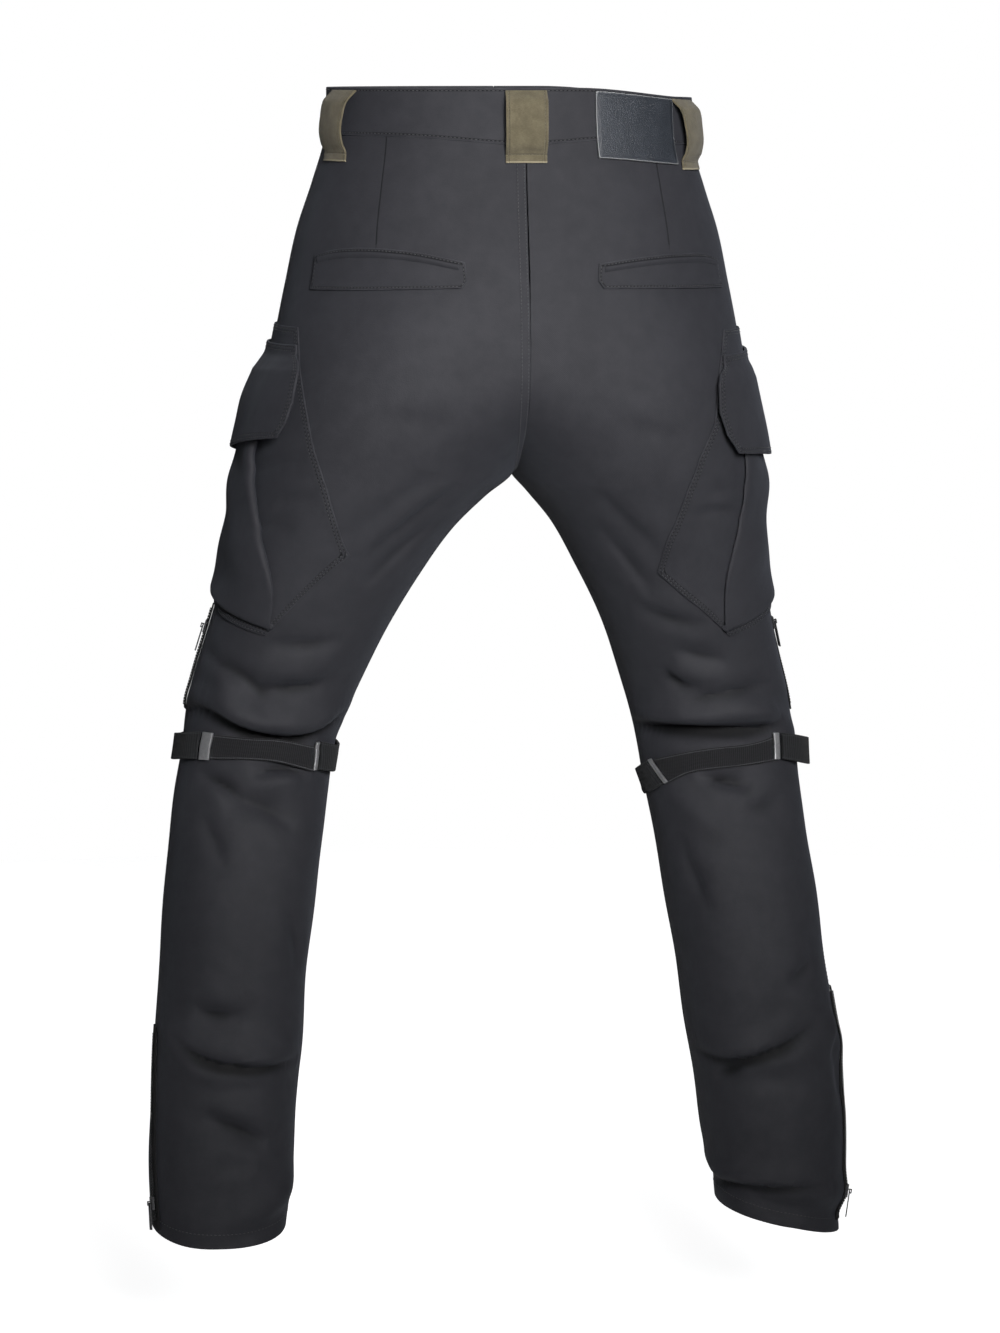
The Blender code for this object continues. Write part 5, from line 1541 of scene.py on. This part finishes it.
@dataclass
class BackWelt:
    """A welted back pocket: a narrow sewn lip with a slit along its top, darkened by a painted line of shade.
    """

    leg: LegForm
    top: tuple[Spot, ...]
    bottom: tuple[Spot, ...]
    slit_drop: float = 0.0026
    slit_inset: float = 0.0040
    slit_depth: float = 0.0058
    roll_start: float = 0.22
    roll_foot: float = 0.0004
    roll_height: float = 0.0016

    def build(self, finishes: Finishes) -> None:
        """Builds the lip, the piping at its mouth and the stitches round it."""
        name = self.leg.name
        lip = Applied(
            f"back_welt_lip_{name}", f"back_welt_{name}", self.leg, self.top, self.bottom,
            (self.top[0], self.bottom[0]), (self.top[-1], self.bottom[-1]), REST_GAP, WELT_CLOTH, 60, 12,
            soft=True,
        )
        sheet = lip.build(finishes.welt, Slot.WAXED, Held.FOLDED, [f"back_cloth_{name}"])
        rows = all_round(sheet, 0.0020)
        Stitching(pitch=0.0032).sew(f"back_welt_stitches_{name}", rows, finishes.thread, Slot.WAXED)
        self.piping(sheet, finishes)

    def piping(self, lip: Sheet, finishes: Finishes) -> None:
        """The folded edge of the mouth, a low roll just under the top row of stitches, with a painted line of
        shade near its top for the slit.
        """
        lines = []
        for share in np.linspace(0.0, 1.0, 9):
            at = self.slit_drop + self.slit_depth * share
            line = lip.trace(Border.TOP, at, (self.slit_inset, self.slit_inset))
            turn = min(1.0, self.roll_start + (1.0 - self.roll_start) * share)
            rise = self.roll_foot + self.roll_height * math.sin(math.pi * turn)
            lines.append(line[:, :3] + line[:, 3:] * rise)
        count = min(len(line) for line in lines)
        points = np.stack([line[:count] for line in lines], axis=0)
        centre = points - lip.outward()[: 1, : 1] * 0.1
        sheet = Sheet(f"back_welt_piping_{self.leg.name}", points, centre, 0.0009, (Border.TOP,), 0.0003)
        lay_cloth(sheet, finishes.mouth)


@dataclass
class CargoPocket:
    """The diamond patch, the bellows bag on it and the flap over the bag's mouth."""

    leg: LegForm
    patch_top: tuple[Spot, ...]
    patch_rear: tuple[Spot, ...]
    patch_bottom: tuple[Spot, ...]
    patch_front: tuple[Spot, ...]
    bag_rear: tuple[Spot, ...]
    bag_front: tuple[Spot, ...]
    flap_rows: tuple[tuple[Spot, Spot, float], ...]
    bag_height: float = 0.0120
    bag_seat: float = 0.0032
    bag_taper: float = 0.45
    taper_start: float = 0.55
    taper_length: float = 0.4
    bag_width: float = 0.102
    bag_rows: int = 50
    bag_columns: int = 40
    bag_cloth: float = 0.0016
    sags: tuple[tuple[float, float, float], ...] = ((0.0016, 7.0, 9.0), (0.0011, -5.0, 23.0))
    flap_cloth: float = 0.0022
    edge: tuple[tuple[float, float], ...] = (
        (0.0060, 0.00),
        (0.0030, 0.08),
        (0.0009, 0.24),
        (0.0000, 0.45),
        (0.0004, 0.68),
        (0.0017, 0.86),
        (0.0042, 0.97),
        (0.0080, 1.00),
    )

    def patch(self, finishes: Finishes) -> None:
        """The diamond patch with its double row of stitches."""
        name = self.leg.name
        piece = Applied(
            f"side_patch_cloth_{name}", f"side_patch_{name}", self.leg, self.patch_top, self.patch_bottom,
            self.patch_rear, self.patch_front, REST_GAP, PATCH_CLOTH, 74, 84,
        )
        sheet = piece.build(finishes.patch, Slot.WAXED, Held.LAID, [f"back_cloth_{name}"])
        rows = all_round(sheet, 0.0022) + all_round(sheet, 0.0052)
        Stitching(pitch=0.0034).sew(f"side_patch_stitches_{name}", rows, finishes.thread, Slot.WAXED)

    def bag(self, finishes: Finishes) -> None:
        """The bag: a wall with rolled overhanging edges, open at the top."""
        name = self.leg.name
        insets = np.array([step[0] for step in self.edge])
        shares = np.array([step[1] for step in self.edge])
        down_share, rear = smooth_chain(self.bag_rear, 60)
        _, front = smooth_chain(self.bag_front, 60)
        depth = abs(self.bag_rear[0].z - self.bag_rear[-1].z)
        width = self.bag_width
        upper = np.linspace(0.0, 1.0 - insets[-1] / depth, self.bag_rows, endpoint=False)
        downs = np.concatenate([upper, 1.0 - insets[::-1] / depth])
        taper = self.bag_taper * smoothstep((downs - self.taper_start) / self.taper_length)
        down_rise = np.concatenate([np.ones(self.bag_rows), shares[::-1]]) * (1.0 - taper)
        middles = np.linspace(insets[-1] / width, 1.0 - insets[-1] / width, self.bag_columns)[1:-1]
        across = np.concatenate([insets / width, middles, 1.0 - insets[::-1] / width])
        across_rise = np.concatenate([shares, np.ones(len(middles)), shares[::-1]])
        rear_at = np.stack([np.interp(downs, down_share, rear[:, k]) for k in (0, 1)], axis=-1)
        front_at = np.stack([np.interp(downs, down_share, front[:, k]) for k in (0, 1)], axis=-1)
        grid = rear_at[:, None] + (front_at - rear_at)[:, None] * across[None, :, None]
        rise = np.minimum(down_rise[:, None], across_rise[None, :])
        sag = np.zeros(rise.shape)
        for height, round_turns, down_turns in self.sags:
            ripple = np.sin(round_turns * across[None, :] + down_turns * downs[:, None])
            sag += height * ripple * np.sin(math.pi * across)[None, :]
        lift = self.bag_seat + (self.bag_height - self.bag_seat) * rise + sag * rise
        angle, z = np.radians(grid[..., 0]), grid[..., 1]
        points = self.leg.surface(angle, z, lift)
        centre = points - self.leg.normal(angle, z)
        sheet = Sheet(f"pocket_bag_cloth_{name}", points, centre, self.bag_cloth, (Border.TOP,), 0.0003)
        lay_cloth(sheet, finishes.bag,
                  (f"pocket_bag_{name}",))

    def flap(self, finishes: Finishes) -> None:
        """The flap, sewn along its top and stitched double round its free edges."""
        name = self.leg.name
        knots = np.linspace(0.0, 1.0, len(self.flap_rows))
        table = np.array([[*rear, *front, lift] for rear, front, lift in self.flap_rows])
        downs = np.linspace(0.0, 1.0, 43)
        straight = np.stack([np.interp(downs, knots, table[:, k]) for k in range(4)], axis=-1)
        lift = cubic_between(np.column_stack([-knots, table[:, 4]]), -downs)[:, 1]
        across = np.linspace(0.0, 1.0, 56)
        grid = straight[:, None, :2] + (straight[:, None, 2:] - straight[:, None, :2]) * across[None, :, None]
        curl = 0.0012 * np.sin(5.2 * across + 0.6)[None, :] * smoothstep((downs - 0.4) / 0.6)[:, None]
        angle, z = np.radians(grid[..., 0]), grid[..., 1]
        points = self.leg.surface(angle, z, lift[:, None] + self.flap_cloth + np.maximum(curl, 0.0))
        centre = points - self.leg.normal(angle, z)
        borders = (Border.TOP, Border.BOTTOM, Border.START, Border.END)
        sheet = Sheet(f"pocket_flap_cloth_{name}", points, centre, self.flap_cloth, borders, 0.0006)
        lay_cloth(sheet, finishes.flap,
                  (f"pocket_flap_{name}",))
        rows = all_round(sheet, 0.0024) + all_round(sheet, 0.0054)
        Stitching(pitch=0.0034).sew(f"pocket_flap_stitches_{name}", rows, finishes.thread, Slot.WAXED)

    def build(self, finishes: Finishes) -> None:
        """Builds the three layers from the leg outwards."""
        self.patch(finishes)
        self.bag(finishes)
        self.flap(finishes)


class Lamp(NamedTuple):
    """A round soft light: where it stands, what it is aimed at, its size, power and spread in degrees."""

    name: str
    at: tuple[float, float, float]
    to: tuple[float, float, float]
    size: float
    watts: float
    spread: float


LAMPS = (
    Lamp("key", (-0.25, 2.85, 0.55), (0.0, 0.1, -0.12), 1.1, 9.4, 42.0),
    Lamp("fill", (1.6, 2.6, 0.3), (0.0, 0.0, -0.20), 1.4, 0.9, 120.0),
    Lamp("front", (0.4, -3.0, 1.6), (0.0, 0.0, -0.45), 2.0, 10.0, 150.0),
    Lamp("top", (0.0, 0.2, 2.6), (0.0, 0.0, -1.0), 2.4, 8.5, 150.0),
)


class TabRow(NamedTuple):
    """One line across a webbing tab."""

    top: Spot
    bottom: Spot
    lift: float


@dataclass
class KneeStrap:
    """The strap behind a knee: elastic between two steel bars, each held in a webbing tab."""

    leg: LegForm
    elastic_top: tuple[Spot, ...]
    elastic_bottom: tuple[Spot, ...]
    bars: dict[str, tuple[Spot, Spot, Spot, Spot]]
    tabs: dict[str, tuple[TabRow, ...]]
    elastic_cloth: float = 0.0014
    bar_height: float = 0.0020
    webbing_cloth: float = 0.0024

    def bar(self, place: str, finishes: Finishes) -> None:
        """A flat steel bar with rounded edges, laid across the elastic's end."""
        name = f"{place}_{self.leg.name}"
        first, last, last_low, first_low = self.bars[place]
        lift = self.elastic_cloth + 2 * REST_GAP
        piece = Applied(
            f"strap_bar_steel_{name}", f"strap_bar_{name}", self.leg, (first, last), (first_low, last_low),
            (first, first_low), (last, last_low), lift, self.bar_height, 6, 10, fine=False,
        )
        sheet = piece.sheet()
        sheet.rounding = 0.0006
        hand_over(sheet.build(), finishes.steel, (f"strap_bar_{name}",))

    def tab(self, place: str, finishes: Finishes) -> None:
        """A webbing tab that stands off near its bar and is sewn down at its far end."""
        name = f"{place}_{self.leg.name}"
        rows = self.tabs[place]
        table = np.array([[*row.top, *row.bottom, row.lift] for row in rows])
        knots = np.linspace(0.0, 1.0, len(rows))
        values = cubic_between(np.column_stack([-knots, table]), -np.linspace(0.0, 1.0, 40))[:, 1:]
        down = np.linspace(0.0, 1.0, 12)[:, None, None]
        grid = values[None, :, :2] + (values[None, :, 2:4] - values[None, :, :2]) * down
        lift = np.maximum(values[:, 4], rows[-1].lift)[None, :] + self.webbing_cloth
        angle, z = np.radians(grid[..., 0]), grid[..., 1]
        points = self.leg.surface(angle, z, lift, fine=False)
        centre = points - self.leg.normal(angle, z)
        sheet = Sheet(f"strap_tab_webbing_{name}", points, centre, self.webbing_cloth,
                      (Border.TOP, Border.BOTTOM), 0.0005)
        lay_cloth(sheet, finishes.webbing,
                  (f"strap_tab_{name}",))

    def build(self, finishes: Finishes) -> None:
        """Builds the elastic, the bars and the tabs."""
        name = self.leg.name
        piece = Applied(
            f"knee_elastic_weave_{name}", f"knee_elastic_{name}", self.leg,
            self.elastic_top, self.elastic_bottom,
            (self.elastic_top[0], self.elastic_bottom[0]), (self.elastic_top[-1], self.elastic_bottom[-1]),
            REST_GAP, self.elastic_cloth, 60, 12, (Border.TOP, Border.BOTTOM), soft=True, fine=False,
        )
        piece.build(finishes.elastic, Slot.ELASTIC, Held.STRETCHED, [f"back_cloth_{name}"])
        for place in ("outer", "inner"):
            self.bar(place, finishes)
            self.tab(place, finishes)


@dataclass
class ZipTape(Repeats):
    """A zip's tape with its two rows of teeth. Its slider and pull are the part's own."""

    leg: LegForm = None
    place: str = "knee"
    top: Spot = Spot(0.0, 0.0)
    bottom: Spot = Spot(0.0, 0.0)
    pitch: float = 0.0026
    width: float = 0.014
    cloth: float = 0.0013
    tooth: tuple[float, float, float] = (0.0013, 0.0026, 0.0012)

    def tooth_model(self) -> bpy.types.Object:
        """One tooth: a small block with a narrowed nose."""
        deselect()
        bpy.ops.mesh.primitive_cube_add(size=1.0)
        obj = bpy.context.active_object
        for vert in obj.data.vertices:
            nose = 0.62 if vert.co.y > 0.0 else 1.0
            vert.co = (vert.co.x * self.tooth[0] * nose, vert.co.y * self.tooth[1], vert.co.z * self.tooth[2])
        edge = obj.modifiers.new("edge", "BEVEL")
        edge.width = 0.0002
        edge.segments = 1
        apply_modifier(obj, edge)
        return obj

    def build(self, finishes: Finishes) -> None:
        """Builds the tape and the teeth."""
        name = f"{self.place}_{self.leg.name}"
        half = math.degrees(self.width / 2.0 / float(self.leg.girth(np.array([self.top.z]))[0]))
        top, bottom = ((Spot(end.angle - half, end.z), Spot(end.angle + half, end.z))
                       for end in (self.top, self.bottom))
        piece = Applied(
            f"zip_tape_weave_{name}", f"{self.place}_zip_{self.leg.name}", self.leg, top, bottom,
            (top[0], bottom[0]), (top[1], bottom[1]), REST_GAP, self.cloth, 9, 60, (Border.START, Border.END),
        )
        sheet = piece.build(finishes.tape, Slot.TAPE, Held.LAID, [f"back_cloth_{self.leg.name}"])
        half_width = float(sheet.arcs(1)[:, -1].mean()) / 2.0
        line = sheet.trace(Border.START, half_width, (0.003, 0.003))
        model = self.tooth_model()
        rise = self.tooth[2] * 0.45
        one = self.places(line, rise, -0.0006, 0.5)
        other = self.places(line, rise, 0.0006, 1.0)
        other[:, :, :2] *= -1.0
        obj = self.copy(f"zip_teeth_{name}", model, np.concatenate([one, other]))
        bpy.data.objects.remove(model)
        hand_over(obj, finishes.teeth)


@dataclass
class FlyPlacket:
    """The sewn facing over the fly, on the wearer's left."""

    def build(self, leg: LegForm, finishes: Finishes) -> None:
        """Builds the facing with its curved row of stitches."""
        piece = Applied(
            "fly_placket_cloth", "fly_placket", leg, (Spot(90.4, -0.022), Spot(108, -0.022)),
            (Spot(90.4, -0.140), Spot(103, -0.140)), (Spot(90.4, -0.022), Spot(90.4, -0.140)),
            (Spot(108, -0.022), Spot(108, -0.128), Spot(103, -0.140)), REST_GAP, PATCH_CLOTH, 14, 44,
            (Border.END, Border.BOTTOM),
        )
        sheet = piece.build(finishes.welt, Slot.WAXED, Held.LAID, ["front_cloth_left"])
        rows = [sheet.trace(border, 0.0020, (0.002, 0.002)) for border in (Border.END, Border.BOTTOM)]
        Stitching().sew("fly_stitches", rows, finishes.thread, Slot.WAXED)


@dataclass
class Metalwork:
    """The sliders and pulls, which keep the part's own shape."""

    places: tuple[str, ...] = ("knee_left", "knee_right", "ankle_left", "ankle_right")

    def dress(self, nodes: dict[str, bpy.types.Object], finishes: Finishes) -> None:
        """Gives each slider and pull its dark metal."""
        for place in self.places:
            for kind in ("zip_slider", "zip_pull"):
                node = nodes[f"{kind}_{place}"]
                for slot in node.material_slots:
                    slot.material = finishes.gunmetal
                LOG.info("%s: dressed", node.name)


@dataclass
class Studio:
    """A pale floor, soft light and the photograph's camera."""

    floor_z: float = -1.105
    floor_radius: float = 2.6
    floor_glow: float = 0.80
    camera_at: tuple[float, float, float] = (0.4953, 3.9692, 0.05)
    camera_tilt: float = 82.37
    camera_turn: float = 173.0
    lens: float = 123.8

    def floor(self) -> None:
        """A round pale floor."""
        deselect()
        bpy.ops.mesh.primitive_circle_add(vertices=96, radius=self.floor_radius, fill_type="NGON",
                                          location=(0.0, 0.0, self.floor_z))
        obj = bpy.context.active_object
        obj.name = "studio_floor"
        kit = Nodes("pale_floor")
        tone = kit.noise(kit.place.outputs["Object"], 3.0, 2.0)
        kit.link(kit.colour(tone, (0.88, 0.88, 0.88), (0.91, 0.91, 0.91)), kit.shader.inputs["Base Color"])
        kit.set("Roughness", 0.9)
        kit.set("IOR", 1.2)
        kit.set("Emission Color", (1.0, 1.0, 1.0, 1.0))
        seen = kit.add("ShaderNodeLightPath").outputs["Is Camera Ray"]
        kit.link(kit.math("MULTIPLY", seen, self.floor_glow), kit.shader.inputs["Emission Strength"])
        obj.data.materials.append(kit.material)

    def light(self, lamp: Lamp) -> None:
        """One soft area light aimed at a point."""
        data = bpy.data.lights.new(lamp.name, "AREA")
        data.shape = "DISK"
        data.size = lamp.size
        data.energy = lamp.watts
        data.spread = math.radians(lamp.spread)
        obj = bpy.data.objects.new(lamp.name, data)
        bpy.context.scene.collection.objects.link(obj)
        obj.location = lamp.at
        obj.rotation_euler = (Vector(lamp.to) - Vector(lamp.at)).to_track_quat("-Z", "Y").to_euler()

    def world(self) -> None:
        """A white background that lights the cloth only a little."""
        world = bpy.data.worlds.new("studio_world")
        world.use_nodes = True
        tree = world.node_tree
        backdrop = tree.nodes["Background"]
        backdrop.inputs["Color"].default_value = (1.0, 1.0, 1.0, 1.0)
        backdrop.inputs["Strength"].default_value = 1.0
        ambient = tree.nodes.new("ShaderNodeBackground")
        ambient.inputs["Color"].default_value = (0.92, 0.95, 1.0, 1.0)
        ambient.inputs["Strength"].default_value = 0.052
        path = tree.nodes.new("ShaderNodeLightPath")
        mix = tree.nodes.new("ShaderNodeMixShader")
        tree.links.new(path.outputs["Is Camera Ray"], mix.inputs[0])
        tree.links.new(ambient.outputs[0], mix.inputs[1])
        tree.links.new(backdrop.outputs[0], mix.inputs[2])
        tree.links.new(mix.outputs[0], tree.nodes["World Output"].inputs["Surface"])
        bpy.context.scene.world = world

    def camera(self) -> None:
        """The photograph's camera: waist high, from behind and a little to the wearer's left."""
        data = bpy.data.cameras.new("photo_camera")
        data.sensor_fit = "VERTICAL"
        data.sensor_height = 36.0
        data.lens = self.lens
        obj = bpy.data.objects.new("photo_camera", data)
        obj.location = self.camera_at
        obj.rotation_euler = (math.radians(self.camera_tilt), 0.0, math.radians(self.camera_turn))
        bpy.context.scene.collection.objects.link(obj)
        bpy.context.scene.camera = obj

    def build(self) -> None:
        """Sets the stage."""
        bpy.context.scene.view_settings.view_transform = "Standard"
        self.floor()
        self.world()
        for lamp in LAMPS:
            self.light(lamp)
        self.camera()


def left_pocket(leg: LegForm) -> CargoPocket:
    """The left cargo pocket's sizes."""
    return CargoPocket(
        leg,
        patch_top=(Spot(205, -0.182), Spot(134, -0.184)),
        patch_rear=(Spot(205, -0.182), Spot(213, -0.2154), Spot(234, -0.2836), Spot(246, -0.316),
                    Spot(271.5, -0.3735)),
        patch_bottom=(Spot(271.5, -0.3735), Spot(246, -0.4445), Spot(150, -0.4165), Spot(134, -0.394)),
        patch_front=(Spot(134, -0.184), Spot(134, -0.394)),
        bag_rear=(Spot(203, -0.231), Spot(201, -0.298), Spot(216, -0.3435), Spot(240, -0.400),
                  Spot(248.5, -0.438)),
        bag_front=(Spot(146, -0.233), Spot(147, -0.270), Spot(149, -0.318), Spot(152, -0.366),
                   Spot(157, -0.410)),
        flap_rows=(
            (Spot(209, -0.1975), Spot(141, -0.2), 0.0032),
            (Spot(210.5, -0.2055), Spot(140, -0.211), 0.0034),
            (Spot(214.5, -0.2115), Spot(140, -0.22), 0.0064),
            (Spot(218, -0.2195), Spot(139, -0.229), 0.0105),
            (Spot(222.3, -0.246), Spot(138, -0.252), 0.0152),
            (Spot(222, -0.2625), Spot(141, -0.278), 0.0154),
            (Spot(220, -0.2755), Spot(153, -0.3), 0.0156),
        ),
    )


def right_pocket(leg: LegForm) -> CargoPocket:
    """The right cargo pocket's sizes."""
    return CargoPocket(
        leg,
        patch_top=(Spot(214, -0.186), Spot(138, -0.188)),
        patch_rear=(Spot(214, -0.186), Spot(224.5, -0.2185), Spot(236, -0.264), Spot(249, -0.2935),
                    Spot(284, -0.3935)),
        patch_bottom=(Spot(284, -0.3935), Spot(254, -0.4525), Spot(155, -0.4185), Spot(138, -0.394)),
        patch_front=(Spot(138, -0.188), Spot(138, -0.394)),
        bag_rear=(Spot(219, -0.240), Spot(223, -0.304), Spot(232, -0.3466), Spot(249, -0.400),
                  Spot(257, -0.4465)),
        bag_front=(Spot(150, -0.237), Spot(151, -0.272), Spot(153, -0.320), Spot(156, -0.368),
                   Spot(161, -0.412)),
        flap_rows=(
            (Spot(221.5, -0.2075), Spot(145, -0.203), 0.0034),
            (Spot(223, -0.2165), Spot(144, -0.214), 0.0036),
            (Spot(228, -0.2225), Spot(144, -0.223), 0.0060),
            (Spot(231.5, -0.2315), Spot(143, -0.232), 0.0080),
            (Spot(235.5, -0.254), Spot(142, -0.256), 0.0092),
            (Spot(235, -0.2735), Spot(145, -0.284), 0.0104),
            (Spot(231, -0.2895), Spot(157, -0.307), 0.0110),
        ),
        bag_height=0.0076,
    )


def left_strap(leg: LegForm) -> KneeStrap:
    """The left knee strap's sizes."""
    return KneeStrap(
        leg,
        elastic_top=(Spot(225, -0.5335), Spot(270, -0.5375), Spot(311, -0.547)),
        elastic_bottom=(Spot(227, -0.5555), Spot(270, -0.5555), Spot(309.5, -0.568)),
        bars={
            "outer": (Spot(220.5, -0.532), Spot(230, -0.532), Spot(232, -0.5565), Spot(222.5, -0.557)),
            "inner": (Spot(309.3, -0.5425), Spot(312.9, -0.5425), Spot(311.2, -0.5665), Spot(307.6, -0.5665)),
        },
        tabs={
            "outer": (
                TabRow(Spot(218, -0.532), Spot(220, -0.557), 0.0024),
                TabRow(Spot(208, -0.534), Spot(209, -0.5585), 0.0050),
                TabRow(Spot(192, -0.538), Spot(192, -0.562), 0.0056),
                TabRow(Spot(176, -0.542), Spot(176, -0.565), 0.0046),
                TabRow(Spot(164, -0.544), Spot(164, -0.566), 0.0008),
                TabRow(Spot(154, -0.545), Spot(154, -0.566), 0.0008),
            ),
            "inner": (
                TabRow(Spot(314.5, -0.5425), Spot(313, -0.5665), 0.0024),
                TabRow(Spot(325, -0.5445), Spot(324, -0.569), 0.0046),
                TabRow(Spot(336, -0.547), Spot(335, -0.571), 0.0046),
                TabRow(Spot(349, -0.5485), Spot(348, -0.5715), 0.0026),
                TabRow(Spot(360, -0.549), Spot(360, -0.5715), 0.0008),
                TabRow(Spot(372, -0.5495), Spot(372, -0.571), 0.0008),
            ),
        },
    )


def right_strap(leg: LegForm) -> KneeStrap:
    """The right knee strap's sizes."""
    return KneeStrap(
        leg,
        elastic_top=(Spot(234, -0.5455), Spot(256, -0.5505), Spot(289, -0.5555), Spot(332, -0.5675)),
        elastic_bottom=(Spot(236, -0.5675), Spot(262, -0.5702), Spot(295, -0.5755), Spot(318.5, -0.5868)),
        bars={
            "outer": (Spot(231.5, -0.5425), Spot(236.5, -0.542), Spot(239, -0.5665), Spot(234, -0.567)),
            "inner": (Spot(332, -0.5665), Spot(336, -0.5685), Spot(320.5, -0.587), Spot(317, -0.585)),
        },
        tabs={
            "outer": (
                TabRow(Spot(229, -0.5435), Spot(231.5, -0.567), 0.0024),
                TabRow(Spot(219, -0.546), Spot(220, -0.5705), 0.0050),
                TabRow(Spot(204, -0.551), Spot(204, -0.575), 0.0075),
                TabRow(Spot(190, -0.555), Spot(190, -0.578), 0.0088),
                TabRow(Spot(174, -0.557), Spot(174, -0.5785), 0.0012),
                TabRow(Spot(162, -0.5575), Spot(162, -0.578), 0.0008),
            ),
            "inner": (
                TabRow(Spot(337.5, -0.569), Spot(322, -0.5875), 0.0024),
                TabRow(Spot(346, -0.574), Spot(330, -0.5925), 0.0046),
                TabRow(Spot(357, -0.579), Spot(340, -0.597), 0.0048),
                TabRow(Spot(367, -0.582), Spot(351, -0.6005), 0.0026),
                TabRow(Spot(375, -0.583), Spot(362, -0.602), 0.0008),
                TabRow(Spot(385, -0.583), Spot(375, -0.602), 0.0008),
            ),
        },
    )


def main() -> None:
    """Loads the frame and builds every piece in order."""
    logging.basicConfig(level=logging.INFO, format="%(name)s %(message)s")
    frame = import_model()
    finishes = Finishes()
    left = LegForm(1, "left", LEFT_SECTIONS, LEFT_FOLDS, LEFT_CREASES, LEFT_HEM)
    right = LegForm(-1, "right", RIGHT_SECTIONS, RIGHT_FOLDS, RIGHT_CREASES, RIGHT_HEM, droop=0.009)
    Waistband().build(left, right, finishes)
    BeltLoops().build(left, right, finishes)
    LeatherPatch().build(right, finishes)
    FlyPlacket().build(left, finishes)
    left_sheets = Panels(left, (Spot(226, -0.020), Spot(230, -0.111))).build(finishes)
    Panels(right, (Spot(227, -0.020), Spot(230, -0.111))).build(finishes)
    SeatSeam().build(left_sheets["back"], finishes)
    BackWelt(
        left,
        (Spot(205, -0.121), Spot(216, -0.1155), Spot(229, -0.114), Spot(243, -0.117), Spot(256, -0.125)),
        (Spot(206, -0.150), Spot(231, -0.149), Spot(257, -0.147)),
    ).build(finishes)
    BackWelt(
        right,
        (Spot(204, -0.124), Spot(215, -0.119), Spot(229, -0.119), Spot(242, -0.122), Spot(254, -0.127)),
        (Spot(205, -0.150), Spot(230, -0.149), Spot(255, -0.148)),
    ).build(finishes)
    left_pocket(left).build(finishes)
    right_pocket(right).build(finishes)
    left_strap(left).build(finishes)
    right_strap(right).build(finishes)
    zips = (
        (left, "knee", Spot(174, -0.428), Spot(174, -0.520)),
        (left, "ankle", Spot(189, -0.790), Spot(204, -0.956)),
        (right, "knee", Spot(177, -0.432), Spot(177, -0.530)),
        (right, "ankle", Spot(189, -0.775), Spot(204, -0.968)),
    )
    for leg, place, top, bottom in zips:
        ZipTape(leg=leg, place=place, top=top, bottom=bottom).build(finishes)
    Metalwork().dress(frame["nodes"], finishes)
    Studio().build()


if __name__ == "__main__":
    main()
